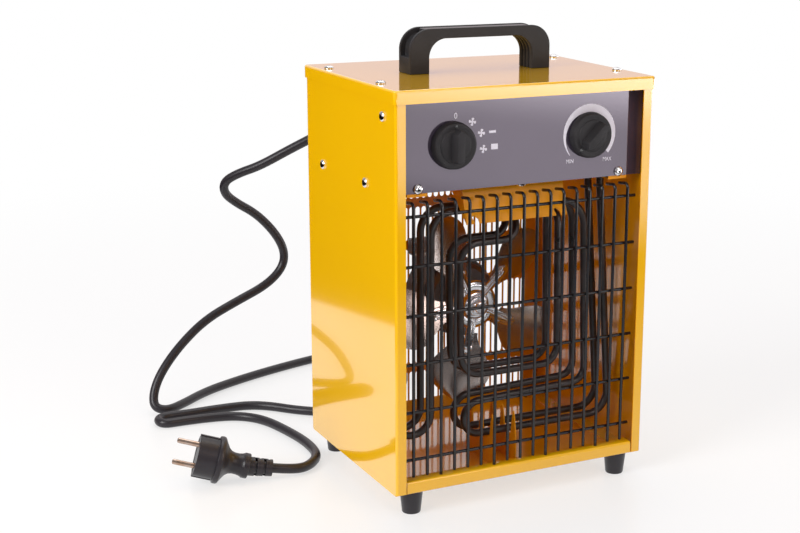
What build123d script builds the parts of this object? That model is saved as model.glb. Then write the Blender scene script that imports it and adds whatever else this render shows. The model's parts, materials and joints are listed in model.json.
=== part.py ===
"""Free-standing forced air heater: a sheet-metal box on four rubber feet, with a wire grille,
two folded tubular heating elements, a fan and its motor, two knobs, a carrying handle and a lead.

Millimetres, +Z up, +X to the right and +Y to the rear. The origin is on the floor, under the middle
of the box that encloses the heater without its lead.
"""

import math
import os

from build123d import *

# ---------------------------------------------------------------- driving dimensions

# Casing
WIDTH = 240.0  # over the side walls
DEPTH = 186.8  # over the front and rear flanges
CASE_HEIGHT = 337.4  # from the tray's underside to the top of the lid
FOOT_HEIGHT = 20.0
SHEET = 1.0
BEND = 1.6
FRONT_FLANGE = 9.0
REAR_FLANGE = 13.0
RETURN = 14.0  # inward flanges at the top and bottom of each side wall
TUBE_SIDES = 6  # of every bent bar's section
TURNED_SIDES = 16  # of the small round pieces
SHEET_GAP = 0.1  # between two sheets that lie on each other
LID_GAP = 0.4
LID_SKIRT = 11.0
TRAY_LIP = 11.0
TRAY_LEDGE = 11.0
LIP_SETBACK = 0.5

# Feet and screws
FOOT_TOP_R = 10.0
FOOT_BOTTOM_R = 8.0
FOOT_INSET_X = 19.0
FOOT_INSET_Y = 12.0
SCREW_R = 1.95
SCREW_HEAD_R = 4.2
SCREW_HEAD = 2.4
SCREW_LENGTH = 9.0
HOLE_GAP = 0.25
THREAD_GAP = 0.05

# Rear panel
SLOT_WIDTH = 4.7
SLOT_LENGTH = 32.0
SLOT_PITCH = 6.3
ROW_PITCH = 40.0
SLOT_ROWS = 6
FIRST_ROW = 45.0  # height of the middle of the lowest row
SLOT_FIELD = 214.0

# Control panel and knobs
PANEL_SETBACK = 11.9
PANEL_BOTTOM = 272.0
PANEL_RETURN = 16.0
KNOB_X = 0.268 * WIDTH
KNOB_Z = 309.3
KNOB_R = 20.8
KNOB_SKIRT = 9.0
KNOB_DISC_R = 14.8
KNOB_BAR = 9.0
KNOB_BAR_HEIGHT = 13.0
KNOB_GAP = 1.0
KNOB_SIDES = 32
SPINDLE_R = 3.0
BUSH_R = 4.9
RUNNING_GAP = 0.05
PANEL_SCREW_X = WIDTH / 2 - 25.0
PANEL_SCREW_RISE = 3.6
THERMOSTAT_REST = 225.0  # degrees clockwise from straight up, at its low end

# Mains lead and its plug, as they lie
CORD = 8.8
GLAND_X = -58.0
GLAND_Z = 304.0
GLAND_R = 8.0
GLAND_FLANGE_R = 11.5
GLAND_OUT = 26.0
PLUG_R = 18.2
PLUG_COLLAR_R = 21.0
PLUG_LENGTH = 46.8  # from the face to the ring
PLUG_RELIEF = 20.8
PIN_R = 2.4
PIN_LENGTH = 19.0
PIN_SPACING = 19.0
PLUG_AXIS = (-0.914, 0.292, 0.278)  # out of the plug's face
PLUG_ROLL = 12.0
PLUG_SIDES = 24

# Partition between the warm and the cool compartment
PARTITION_Z = 269.0
PARTITION_FRONT = 29.0  # behind the front of the casing
PARTITION_FLANGE = 12.0

BULB_Y = 62.0

# Grille
WIRE = 2.3
WIRES = 17
WIRE_PITCH = 12.7
GRILLE_SETBACK = 6.0
GRILLE_TOP = 265.6
GRILLE_BOTTOM = 32.6
HOOK_LENGTH = 14.0
HOOK_DROP = 2.0
HOOK_BEND = 2.4
CROSS_WIRES = 6
CROSS_PITCH = 41.4
CROSS_FIRST = 47.3
CROSS_REACH = 110.5
PEG_DEPTH = 4.5
PEG_EVERY = 4

# Heating elements
TUBE = 6.5
LAYER_SETBACK = 38.4  # of the front layer behind the front of the casing
LAYER_GAP = 20.0
LEG_TOP_X = 93.6
LEG_FOOT_X = 108.6
LOW_RUN_Z = 48.6
LOOP_X = -38.2
BACK_RUN_Z = 78.0
SECOND_RISER_X = 80.6
TOP_RUN_Z = 248.6
LEFT_RISER_X = -70.4
LEFT_TURN_Z = 56.6
LEFT_LEG_X = -105.0
LEFT_LEG_TOP = 150.0
INNER_LEFT_X = -42.2
INNER_RIGHT_X = 53.0
INNER_LOW_Z = 102.6
INNER_HIGH_DROP = 29.4  # below the outer element's top run
INNER_TAIL_X = 13.0
HAIRPIN_DROP = 10.6  # below the outer element's top run
TERMINAL_TOP = 284.0
STUD_R = 2.0
STUD_LENGTH = 14.0

# Element brackets and cut-out
BRACKET_WIDTH = 96.0
BRACKET_DROP = 28.0  # of its lower edge below the partition
BRACKET_SETBACK = 16.9  # of its lower edge behind the front of the casing
BRACKET_LEAN = 9.0
GUSSET = 24.0
NOTCH = 7.0
CUTOUT_R = 8.0
CUTOUT_DEPTH = 5.0
CUTOUT_X = 6.4
CUTOUT_RISE = 31.5  # up the bracket's face
BRACKET_ABOVE = 12.0  # how far the face reaches past the partition
CLIP_X = -5.0
CLIP_WIDTH = 22.0
FINGER = 9.0  # width of the clip's fingers at the runs they hold
FINGER_RISE = 19.0  # of their tips above the runs

# Fan and motor
FAN_Z = 148.0
FAN_R = 90.0
BLADES = 5
BLADE_SHEET = 1.2
BLADE_WIDTH = 58.0
BLADE_PITCH = 24.0
FAN_FIRST = 44.0  # degrees from the right to the first blade
FAN_TO_REAR = 88.3  # from the middle of the blades to the rear panel
HUB_R = 12.5
SPIDER_R = 46.0
SHAFT_R = 4.0
MOTOR_R = 36.0
MOTOR_LENGTH = 34.0
MOTOR_GAP = 12.0  # from the hub to the motor's front cap
CAP_DEPTH = 9.0

# Handle
HANDLE_WIDTH = 134.4
HANDLE_HEIGHT = 37.6
HANDLE_DEPTH = 23.0
HANDLE_Y = 2.6
HANDLE_LEG = 17.8
HANDLE_RIM = 8.4
HANDLE_CORNER = 18.0
HANDLE_INNER_CORNER = 16.0
CHANNEL_DEPTH = 5.0
CHANNEL_WALL = 3.2
CHANNEL_FLOOR = 14.0  # the channel starts this far above the lid

# ---------------------------------------------------------------- places worked out from them

KNOB_REACH = KNOB_GAP + KNOB_SKIRT + KNOB_BAR_HEIGHT - PANEL_SETBACK
BOX_Y = (KNOB_REACH - SCREW_HEAD) / 2  # puts the origin midway between knobs and rear screws
HALF_W = WIDTH / 2
FRONT = -DEPTH / 2
REAR = DEPTH / 2
INNER_X = HALF_W - SHEET
BASE = FOOT_HEIGHT
FLOOR = BASE + SHEET  # top of the tray's floor
TOP = BASE + CASE_HEIGHT
UNDER_LID = TOP - SHEET
WALL_TOP = UNDER_LID - SHEET_GAP
PANEL_FRONT = FRONT + PANEL_SETBACK
PANEL_BACK = PANEL_FRONT + SHEET
GRILLE_Y = FRONT + GRILLE_SETBACK
LEDGE_TOP = BASE + TRAY_LIP
LIP_HALF = HALF_W - FRONT_FLANGE - 1.0
REAR_PANEL_OUT = REAR - SHEET - SHEET_GAP
REAR_PANEL_IN = REAR_PANEL_OUT - SHEET
TRAY_REAR_OUT = REAR_PANEL_IN - SHEET_GAP
BULB_Z = PARTITION_Z - 9.0
BRACKET_LOW_Z = PARTITION_Z - BRACKET_DROP
BRACKET_LOW_Y = FRONT + BRACKET_SETBACK
LAYER_FRONT = FRONT + LAYER_SETBACK
LAYERS = (LAYER_FRONT, LAYER_FRONT + LAYER_GAP)
INNER_HIGH_Z = TOP_RUN_Z - INNER_HIGH_DROP
HAIRPIN_TOP = TOP_RUN_Z - HAIRPIN_DROP
FAN_Y = REAR_PANEL_IN - FAN_TO_REAR
TAILS = (LAYERS[0] + LAYER_GAP / 2, LAYERS[1] + TUBE + 1.2)  # clear of the runs they pass

BRACKET_FACE = Plane((0, BRACKET_LOW_Y, BRACKET_LOW_Z), x_dir=(1, 0, 0),
                     z_dir=(0, BRACKET_LOW_Z - PARTITION_Z, BRACKET_LEAN))


def save(name, *solids):
    """Moves the solids into the part's frame and writes them as one sub-part."""
    shape = solids[0] if len(solids) == 1 else Compound(children=list(solids))
    export_step(Pos(0, BOX_Y, 0) * shape, f"parts/{name}.step")


def block(x0, x1, y0, y1, z0, z1):
    """A box between six planes."""
    return Pos((x0 + x1) / 2, (y0 + y1) / 2, (z0 + z1) / 2) * Box(x1 - x0, y1 - y0, z1 - z0)


def peg(radius, start, direction, length):
    """A round bar or a round drill from a point along a direction."""
    return extrude(Plane(start, z_dir=direction) * Circle(radius), length)


def hole(radius, start, direction, length):
    """A six-sided drill, for the many small holes that screw heads cover."""
    section = RegularPolygon(radius, 6, major_radius=False)
    return extrude(Plane(start, z_dir=direction) * section, length)


def folded(points, plane, width, radius=BEND):
    """Sheet bent along a line of points in a plane, extruded across it both ways."""
    strip = trace(FilletPolyline(*points, radius=radius), line_width=SHEET)
    return extrude(plane * strip, width / 2, both=True)


def turned(profile, sides=TURNED_SIDES):
    """A many-sided turned piece through a list of (radius, height) pairs, from the bottom up."""
    piece = Part()
    for (r0, z0), (r1, z1) in zip(profile, profile[1:]):
        if z1 > z0:
            inset = abs(r0 - r1) * math.cos(math.pi / sides)
            taper = math.degrees(math.atan2(inset, z1 - z0))
            place = Pos(0, 0, z0) if r0 >= r1 else Pos(0, 0, z1) * Rot(180, 0, 0)
            piece += place * extrude(RegularPolygon(max(r0, r1), sides), z1 - z0, taper=taper)
    return piece


def rod(points, radii, radius, sides=TUBE_SIDES):
    """A bent bar along straight runs that arcs of the given radii join."""
    path = FilletPolyline(*points, radius=radii)
    return sweep(Plane(path @ 0, z_dir=path % 0) * RegularPolygon(radius, sides), path=path)


def screw(start, direction, length=SCREW_LENGTH, head=SCREW_HEAD, head_r=SCREW_HEAD_R, r=SCREW_R):
    """A pan-head screw: start is under the head, direction points along the shank."""
    body = extrude(RegularPolygon(r, 6), length) + extrude(RegularPolygon(head_r, 8), -head, taper=20)
    return Plane(start, z_dir=direction) * body


# ---------------------------------------------------------------- places of the fasteners

SIDE_SCREWS = [(-70.0, TOP - 23.0), (56.0, PARTITION_Z + PARTITION_FLANGE / 2),
               (-35.0, PARTITION_Z + PARTITION_FLANGE / 2)]
LID_SCREW_X = HALF_W - 8.0
LID_SCREWS = [(side * LID_SCREW_X, y) for side in (-1, 1) for y in (-48.0, 60.0)]
BASE_SCREWS = [(side * (INNER_X - 11.0), y) for side in (-1, 1) for y in (-58.0, 40.0)]
REAR_SCREW_X = HALF_W - REAR_FLANGE / 2
REAR_SCREWS = [(side * REAR_SCREW_X, z) for side in (-1, 1)
               for z in (BASE + 28.0, FAN_Z + 18.0, TOP - 30.0)]
FEET = [(sx * (HALF_W - FOOT_INSET_X), sy * (DEPTH / 2 - FOOT_INSET_Y))
        for sx in (-1, 1) for sy in (-1, 1)]
MOUNT_ZS = (FIRST_ROW + 1.5 * ROW_PITCH, FIRST_ROW + 3.5 * ROW_PITCH)
MOUNT_X = 16.0
MOUNT_SCREWS = [(side * MOUNT_X, z) for side in (-1, 1) for z in MOUNT_ZS]
HANDLE_SCREWS = [(side * (HANDLE_WIDTH - HANDLE_LEG) / 2, HANDLE_Y) for side in (-1, 1)]
WIRE_XS = [(i - (WIRES - 1) / 2) * WIRE_PITCH for i in range(WIRES)]
PEGS = [x for i, x in enumerate(WIRE_XS) if i % PEG_EVERY == PEG_EVERY // 2]

TERMINALS = [(LEG_TOP_X, y) for y in LAYERS] + [(INNER_TAIL_X, y) for y in TAILS]


# ---------------------------------------------------------------- casing

def side_panel(side):
    """A side wall with its front and rear flanges and its inward returns top and bottom."""
    mid = HALF_W - SHEET / 2
    front, rear = FRONT + SHEET / 2, REAR - SHEET / 2
    line = [(mid - FRONT_FLANGE + SHEET / 2, front), (mid, front), (mid, rear),
            (mid - REAR_FLANGE + SHEET / 2, rear)]
    wall = trace(FilletPolyline(*line, radius=BEND), line_width=SHEET)
    panel = Pos(0, 0, FLOOR) * extrude(wall, WALL_TOP - FLOOR)
    inner = (INNER_X - RETURN, INNER_X + SHEET / 2, FRONT + 4 * SHEET, TRAY_REAR_OUT - SHEET - 1.0)
    panel += block(*inner, FLOOR, FLOOR + SHEET)
    panel += block(*inner, WALL_TOP - SHEET, WALL_TOP)
    drill = SCREW_R + HOLE_GAP
    for y, z in SIDE_SCREWS:
        panel -= hole(drill, (HALF_W - 3, y, z), (1, 0, 0), 6)
    for x, y in LID_SCREWS:
        if x > 0:
            panel -= hole(SCREW_R + THREAD_GAP, (x, y, WALL_TOP - 3), (0, 0, 1), 6)
    for x, y in BASE_SCREWS:
        if x > 0:
            panel -= hole(SCREW_R + THREAD_GAP, (x, y, FLOOR - 2), (0, 0, 1), 6)
    for x, z in REAR_SCREWS:
        if x > 0:
            panel -= hole(drill, (x, REAR - 3, z), (0, 1, 0), 6)
    return panel if side > 0 else mirror(panel, about=Plane.YZ)


def base_tray():
    """The floor with its front lip, the ledge that carries the grille, and a rear flange."""
    low, lip = BASE + SHEET / 2, FRONT + LIP_SETBACK + SHEET / 2
    rear = TRAY_REAR_OUT - SHEET / 2
    profile = [(rear, BASE + 13), (rear, low), (lip, low), (lip, LEDGE_TOP - SHEET / 2),
               (lip + TRAY_LEDGE, LEDGE_TOP - SHEET / 2)]
    tray = folded(profile, Plane.YZ, 2 * LIP_HALF)
    for side in (-1, 1):
        edges = sorted((side * (LIP_HALF - 5), side * HALF_W))
        tray += block(*edges, FRONT + 2 * SHEET, REAR - BEND - SHEET, BASE, FLOOR)
    for x in PEGS:
        tray -= hole(WIRE / 2 + HOLE_GAP, (x, GRILLE_Y, LEDGE_TOP - 3), (0, 0, 1), 6)
    for x, y in BASE_SCREWS:
        tray -= hole(SCREW_R + HOLE_GAP, (x, y, BASE - 2), (0, 0, 1), 6)
    for x, y in FEET:
        tray -= hole(SCREW_R + HOLE_GAP, (x, y, BASE - 2), (0, 0, 1), 6)
    return tray


def top_lid():
    """A shallow pressed cap that fits over the walls."""
    reach = LID_GAP + SHEET
    x, y = HALF_W + reach, DEPTH / 2 + reach
    lid = block(-x, x, -y, y, TOP - LID_SKIRT, TOP)
    lid = fillet(lid.edges().filter_by(Axis.Z), BEND)
    lid = chamfer(lid.faces().sort_by(Axis.Z)[-1].edges(), BEND / 2)
    x, y = x - SHEET, y - SHEET
    hollow = block(-x, x, -y, y, TOP - LID_SKIRT - 1, UNDER_LID)
    lid -= fillet(hollow.edges().filter_by(Axis.Z), BEND - SHEET)
    for x, y in LID_SCREWS:
        lid -= hole(SCREW_R + HOLE_GAP, (x, y, UNDER_LID - 2), (0, 0, 1), 6)
    for x, y in HANDLE_SCREWS:
        lid -= hole(SCREW_R + HOLE_GAP, (x, y, UNDER_LID - 2), (0, 0, 1), 6)
    return lid


def rear_panel():
    """The back with its rows of air slots and the hole for the cable gland."""
    x = HALF_W - 2 * SHEET
    panel = block(-x, x, REAR_PANEL_IN, REAR_PANEL_OUT, FLOOR + SHEET_GAP, WALL_TOP - SHEET)
    columns = int(SLOT_FIELD // SLOT_PITCH)
    slots = [Pos((i - (columns - 1) / 2) * SLOT_PITCH, FIRST_ROW + row * ROW_PITCH)
             * Rectangle(SLOT_WIDTH, SLOT_LENGTH)
             for row in range(SLOT_ROWS) for i in range(columns)]
    field = Sketch() + slots
    panel -= Pos(0, REAR_PANEL_OUT + 1, 0) * extrude(Plane.XZ * field, 2 * SHEET + 2)
    panel -= peg(GLAND_R + HOLE_GAP, (GLAND_X, REAR_PANEL_IN - 1, GLAND_Z), (0, 1, 0), 4)
    for x, z in REAR_SCREWS:
        panel -= hole(SCREW_R + THREAD_GAP, (x, REAR_PANEL_IN - 1, z), (0, 1, 0), 4)
    for x, z in MOUNT_SCREWS:
        panel -= hole(SCREW_R + HOLE_GAP, (x, REAR_PANEL_IN - 1, z), (0, 1, 0), 4)
    return panel


def control_panel():
    """The black plate behind the knobs, with returns that lie against the side walls."""
    side = INNER_X - SHEET_GAP - SHEET / 2
    middle = PANEL_FRONT + SHEET / 2
    line = [(-side, middle + PANEL_RETURN), (-side, middle), (side, middle),
            (side, middle + PANEL_RETURN)]
    strip = trace(FilletPolyline(*line, radius=BEND), line_width=SHEET)
    panel = Pos(0, 0, PANEL_BOTTOM) * extrude(strip, WALL_TOP - SHEET - 1.0 - PANEL_BOTTOM)
    for x in (-KNOB_X, KNOB_X):
        panel -= hole(BUSH_R + HOLE_GAP, (x, PANEL_FRONT - 2, KNOB_Z), (0, 1, 0), 5)
    for x in (-PANEL_SCREW_X, PANEL_SCREW_X):
        panel -= hole(SCREW_R + HOLE_GAP, (x, PANEL_FRONT - 2, PANEL_BOTTOM + PANEL_SCREW_RISE),
                     (0, 1, 0), 5)
    y, z = SIDE_SCREWS[0]
    for way in (-1, 1):
        panel -= hole(SCREW_R + THREAD_GAP, (way * (INNER_X - 4), y, z), (way, 0, 0), 6)
    return panel


def partition_plate():
    """The shelf between the warm and the cool compartment, flanged up on three sides."""
    side = INNER_X - SHEET_GAP - SHEET / 2
    middle = PARTITION_Z + SHEET / 2
    up = PARTITION_Z + PARTITION_FLANGE
    line = [(-side, up), (-side, middle), (side, middle), (side, up)]
    front, rear = FRONT + PARTITION_FRONT, TRAY_REAR_OUT - 0.5
    plate = Pos(0, (front + rear) / 2, 0) * folded(line, Plane.XZ, rear - front)
    tab_y = PANEL_FRONT + SHEET + SHEET_GAP
    for x in (-PANEL_SCREW_X, PANEL_SCREW_X):
        plate += block(x - 9, x + 9, tab_y, front + 1, PARTITION_Z, PARTITION_Z + SHEET)
        plate += block(x - 9, x + 9, tab_y, tab_y + SHEET, PARTITION_Z, up + 2)
        plate -= hole(SCREW_R + THREAD_GAP, (x, tab_y - 2, PANEL_BOTTOM + PANEL_SCREW_RISE),
                     (0, 1, 0), 5)
    for y, z in SIDE_SCREWS[1:]:
        for way in (-1, 1):
            plate -= hole(SCREW_R + THREAD_GAP, (way * (INNER_X - 4), y, z), (way, 0, 0), 6)
    for x, y in TERMINALS:
        plate -= hole(TUBE / 2 + 0.5, (x, y, PARTITION_Z - 2), (0, 0, 1), 6)
    return plate - hole(2.0, (KNOB_X, BULB_Y, PARTITION_Z - 2), (0, 0, 1), 6)


def feet():
    """Four tapered rubber feet, countersunk from below for their screws."""
    taper = math.degrees(math.atan2(FOOT_TOP_R - FOOT_BOTTOM_R, FOOT_HEIGHT))
    foot = extrude(RegularPolygon(FOOT_BOTTOM_R, 12), FOOT_HEIGHT, taper=-taper)
    foot -= extrude(RegularPolygon(SCREW_HEAD_R + 0.8, 8), 8.0)
    foot -= extrude(RegularPolygon(SCREW_R + HOLE_GAP, 6, major_radius=False), FOOT_HEIGHT)
    return [Pos(x, y, 0) * foot for x, y in FEET]


# ---------------------------------------------------------------- front grille

def front_grille():
    """Hooked upright wires, four of them pegged into the tray, welded to wires across behind."""
    hook_y = GRILLE_Y + HOOK_LENGTH
    wires = []
    for x in WIRE_XS:
        bottom = LEDGE_TOP - PEG_DEPTH if x in PEGS else GRILLE_BOTTOM
        line = Polyline((x, GRILLE_Y, bottom), (x, GRILLE_Y, GRILLE_TOP - HOOK_BEND),
                        (x, GRILLE_Y + HOOK_BEND, GRILLE_TOP), (x, hook_y, GRILLE_TOP - HOOK_DROP))
        section = Plane(line @ 0, x_dir=(1, 0, 0), z_dir=(0, 0, 1)) * RegularPolygon(WIRE / 2, 6)
        wires.append(sweep(section, path=line, transition=Transition.RIGHT))
    for row in range(CROSS_WIRES):
        start = (-CROSS_REACH, GRILLE_Y + WIRE * math.cos(math.pi / 6), CROSS_FIRST + row * CROSS_PITCH)
        section = Plane(start, x_dir=(0, 0, 1), z_dir=(1, 0, 0)) * RegularPolygon(WIRE / 2, 6)
        wires.append(extrude(section, 2 * CROSS_REACH))
    return Part() + wires


# ---------------------------------------------------------------- heating elements

def outer_element():
    """One bar folded in two: both halves run round the outside, one behind the other."""
    front, back = LAYERS
    line = [(LEG_TOP_X, TERMINAL_TOP), (LEG_TOP_X, PARTITION_Z - 8), (LEG_FOOT_X, LOW_RUN_Z),
            (LOOP_X, LOW_RUN_Z), (LOOP_X, BACK_RUN_Z), (SECOND_RISER_X + 2, BACK_RUN_Z + 4),
            (SECOND_RISER_X - 3, TOP_RUN_Z), (LEFT_RISER_X, TOP_RUN_Z),
            (LEFT_RISER_X, LEFT_TURN_Z), (LEFT_LEG_X, LEFT_TURN_Z), (LEFT_LEG_X, LEFT_LEG_TOP)]
    low = (BACK_RUN_Z - LOW_RUN_Z) / 2
    left = (LEFT_RISER_X - LEFT_LEG_X) / 2
    bends = [30, 19, low * 0.99, low * 0.99, 13, 24, 20, left * 0.99, left * 0.99]
    hairpin = LAYER_GAP / 2 * 0.99
    points = [(x, front, z) for x, z in line] + [(x, back, z) for x, z in reversed(line)]
    return rod(points, bends + [hairpin, hairpin] + bends[::-1], TUBE / 2)


def inner_element():
    """The second folded bar, inside the first, with its hairpin at the top right."""
    hairpin = LAYER_GAP / 2 * 0.99
    front, back = [
        [(INNER_TAIL_X, tail, TERMINAL_TOP), (INNER_TAIL_X, tail, TOP_RUN_Z - 5),
         (INNER_TAIL_X, y, INNER_HIGH_Z), (INNER_LEFT_X - 1.5, y, INNER_HIGH_Z),
         (INNER_LEFT_X + 1, y, INNER_LOW_Z), (INNER_RIGHT_X + 1, y, INNER_LOW_Z),
         (INNER_RIGHT_X - 1, y, HAIRPIN_TOP)] for y, tail in zip(LAYERS, TAILS)]
    bends = [20, 14, 18, 19, 16]
    return rod(front + back[::-1], bends + [hairpin, hairpin] + bends[::-1], TUBE / 2)


def element_terminals():
    """Threaded studs on the ends of both elements, each with its nut."""
    made = []
    for x, y in TERMINALS:
        stud = hole(STUD_R, (x, y, TERMINAL_TOP), (0, 0, 1), STUD_LENGTH)
        made.append(stud + Pos(x, y, TERMINAL_TOP + 5) * extrude(RegularPolygon(4.0, 6), 3.2))
    return made


def element_bracket():
    """The leaning plate under the partition, gusseted, with notches along its lower edge."""
    half = BRACKET_WIDTH / 2
    top_y = BRACKET_LOW_Y + BRACKET_LEAN
    rise = PARTITION_Z - SHEET_GAP - BRACKET_LOW_Z
    length = math.hypot(rise, BRACKET_LEAN) + BRACKET_ABOVE
    face = Pos(0, length / 2) * Rectangle(BRACKET_WIDTH, length)
    for x in (-half + 9, half - 9):
        hook = Polyline((x - NOTCH / 2 + 2, -1), (x - NOTCH / 2 + 2, 1.5), (x - NOTCH / 2, 6),
                        (x - 1, 6.6), (x + NOTCH / 2 - 1, 4.0), (x + NOTCH / 2, -1), close=True)
        face -= make_face(hook)
    bracket = extrude(BRACKET_FACE * face, -SHEET)
    side = make_face(Polyline((BRACKET_LOW_Y + 0.4, BRACKET_LOW_Z), (top_y + 0.4, BRACKET_LOW_Z + rise),
                              (top_y + GUSSET, BRACKET_LOW_Z + rise), close=True))
    for x in (-half, half - SHEET):
        bracket += Pos(x, 0, 0) * extrude(Plane.YZ * side, SHEET)
    tab = top_y + 8.0
    bracket += block(-half, half, top_y + 0.2, tab, BRACKET_LOW_Z + rise - SHEET,
                     BRACKET_LOW_Z + rise)
    return bracket


def element_clip():
    """The bracket on the floor whose pointed fingers hold the lowest runs of the outer element."""
    floor = FLOOR + SHEET_GAP
    seat = LOW_RUN_Z - TUBE / 2 - THREAD_GAP
    front, rear = LAYER_FRONT - LAYER_GAP / 2, LAYERS[1] + LAYER_GAP / 2
    clip = block(CLIP_X - CLIP_WIDTH / 2, CLIP_X + CLIP_WIDTH / 2, front - FINGER / 2,
                 rear + FINGER, floor, floor + SHEET)
    cheek = make_face(Polyline((front - FINGER / 2, floor), (front - FINGER / 2, seat),
                               (rear + FINGER / 2, seat), (rear + FINGER, floor), close=True))
    for i in range(3):
        y = front + i * LAYER_GAP
        cheek += make_face(Polyline((y - FINGER / 2, seat), (y - 2, LOW_RUN_Z + FINGER_RISE - 6),
                                    (y, LOW_RUN_Z + FINGER_RISE),
                                    (y + 2, LOW_RUN_Z + FINGER_RISE - 6), (y + FINGER / 2, seat),
                                    close=True))
    for x in (CLIP_X - CLIP_WIDTH / 2, CLIP_X + CLIP_WIDTH / 2 - SHEET):
        clip += Pos(x, 0, 0) * extrude(Plane.YZ * cheek, SHEET)
    return clip - hole(SCREW_R, (CLIP_X, rear, floor - 1), (0, 0, 1), 4)


def thermal_cutout():
    """The overheat cut-out: a flat can on the front of the bracket, just above its top edge."""
    can = turned([(CUTOUT_R, 0), (CUTOUT_R, CUTOUT_DEPTH - 1), (CUTOUT_R - 1, CUTOUT_DEPTH)])
    return BRACKET_FACE * (Pos(CUTOUT_X, CUTOUT_RISE, SHEET_GAP / 2) * can)


# ---------------------------------------------------------------- fan and motor

HUB_FRONT = FAN_Y - 8.0
HUB_REAR = FAN_Y + 10.0
MOTOR_FRONT = HUB_REAR + MOTOR_GAP


def fan_blades():
    """Five rounded paddles, each pitched about its own radius."""
    made = []
    for i in range(BLADES):
        angle = FAN_FIRST + i * 360.0 / BLADES
        root, tip = 26.0, FAN_R - 2.0
        rim = FilletPolyline((root, -8), (tip, -BLADE_WIDTH / 2 - 4), (tip + 0.5, BLADE_WIDTH / 2 - 3),
                             (root, 9), radius=[18.0, 15.0])
        outline = make_face(rim + Line((root, 9), (root, -8)))
        paddle = extrude(outline, BLADE_SHEET / 2, both=True)
        paddle = Rot(BLADE_PITCH, 0, 0) * paddle
        made.append(Rot(0, 0, angle) * paddle)
    hub = Plane((0, FAN_Y, FAN_Z), x_dir=(1, 0, 0), z_dir=(0, -1, 0))
    return [hub * blade for blade in made]


def fan_spider():
    """The pressed hub: a cup on the shaft, a dished disc and five ribbed arms."""
    hub = Plane((0, FAN_Y, FAN_Z), x_dir=(1, 0, 0), z_dir=(0, -1, 0))
    cup = turned([(HUB_R - 3, -10), (HUB_R - 3, 0.7)]) + turned([(19.0, 0.7), (19.0, 2.7)], 20)
    cup += turned([(HUB_R, 2.7), (HUB_R - 1, 8.0)])
    for i in range(BLADES):
        arm = Pos(SPIDER_R / 2 + 4, 0, 0) * Box(SPIDER_R - 8, 11.0, 2.0)
        rib = Pos(SPIDER_R / 2 + 4, 0, 1.6) * Box(SPIDER_R - 12, 4.0, 1.6)
        arm = Rot(BLADE_PITCH, 0, 0) * (Pos(0, 0, 1.65) * (arm + rib))
        cup += Rot(0, 0, FAN_FIRST + i * 360.0 / BLADES) * arm
    cup -= Pos(0, 0, -11) * extrude(Circle(SHAFT_R + THREAD_GAP), 30.0)
    return hub * cup


def fan_shaft():
    """The motor's shaft, from the rear cap to the thread in front of the hub."""
    start = (0, MOTOR_FRONT + MOTOR_LENGTH + CAP_DEPTH, FAN_Z)
    return peg(SHAFT_R, start, (0, -1, 0), start[1] - HUB_FRONT + 9.0)


def fan_nut():
    """The cap nut that holds the hub on the shaft."""
    nut = extrude(RegularPolygon(7.0, 6), 6.0) + turned([(5.6, 6.0), (4.6, 8.5)], 12)
    nut += turned([(9.0, 0), (9.0, 1.4)], 12)
    nut -= extrude(Circle(SHAFT_R + THREAD_GAP), 20.0)
    return Plane((0, HUB_FRONT, FAN_Z), x_dir=(1, 0, 0), z_dir=(0, -1, 0)) * nut


def motor_body():
    """The stator: a round laminated pack with cooling grooves, bored for the shaft."""
    pack = RegularPolygon(MOTOR_R, 24)
    for i in range(12):
        pack -= Rot(0, 0, i * 30.0) * (Pos(MOTOR_R, 0) * Rectangle(4.0, 3.0))
    pack -= Circle(SHAFT_R + RUNNING_GAP)
    place = Plane((0, MOTOR_FRONT + CAP_DEPTH, FAN_Z), x_dir=(1, 0, 0), z_dir=(0, 1, 0))
    return place * extrude(pack, MOTOR_LENGTH)


def motor_cap(y, way):
    """A dished end cap with its bearing boss; way points out of the motor."""
    cap = turned([(MOTOR_R - 3, 0), (MOTOR_R - 3, CAP_DEPTH - 4), (MOTOR_R - 7, CAP_DEPTH)], 24)
    cap += turned([(10.0, CAP_DEPTH), (10.0, CAP_DEPTH + 2)])
    cap -= extrude(Circle(SHAFT_R + RUNNING_GAP), CAP_DEPTH + 5.0)
    return Plane((0, y, FAN_Z), x_dir=(1, 0, 0), z_dir=(0, way, 0)) * cap


MOUNT_FRONT = MOTOR_FRONT + MOTOR_LENGTH + 2 * CAP_DEPTH + 2.0 + SHEET_GAP


def motor_bracket():
    """A hat-shaped strap that carries the motor's rear cap off the rear panel."""
    low, high = MOUNT_ZS
    front, rear = MOUNT_FRONT + SHEET / 2, REAR_PANEL_IN - SHEET_GAP - SHEET / 2
    line = [(rear, low - 7), (rear, low + 7), (front, low + 7), (front, high - 7),
            (rear, high - 7), (rear, high + 7)]
    strap = folded(line, Plane.YZ, 2 * MOUNT_X + 14.0)
    strap -= hole(SHAFT_R + 2.0, (0, MOUNT_FRONT - 2, FAN_Z), (0, 1, 0), 5)
    for x, z in MOUNT_SCREWS:
        strap -= hole(SCREW_R + THREAD_GAP, (x, REAR_PANEL_IN - 3, z), (0, 1, 0), 5)
    return strap


# ---------------------------------------------------------------- controls

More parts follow.
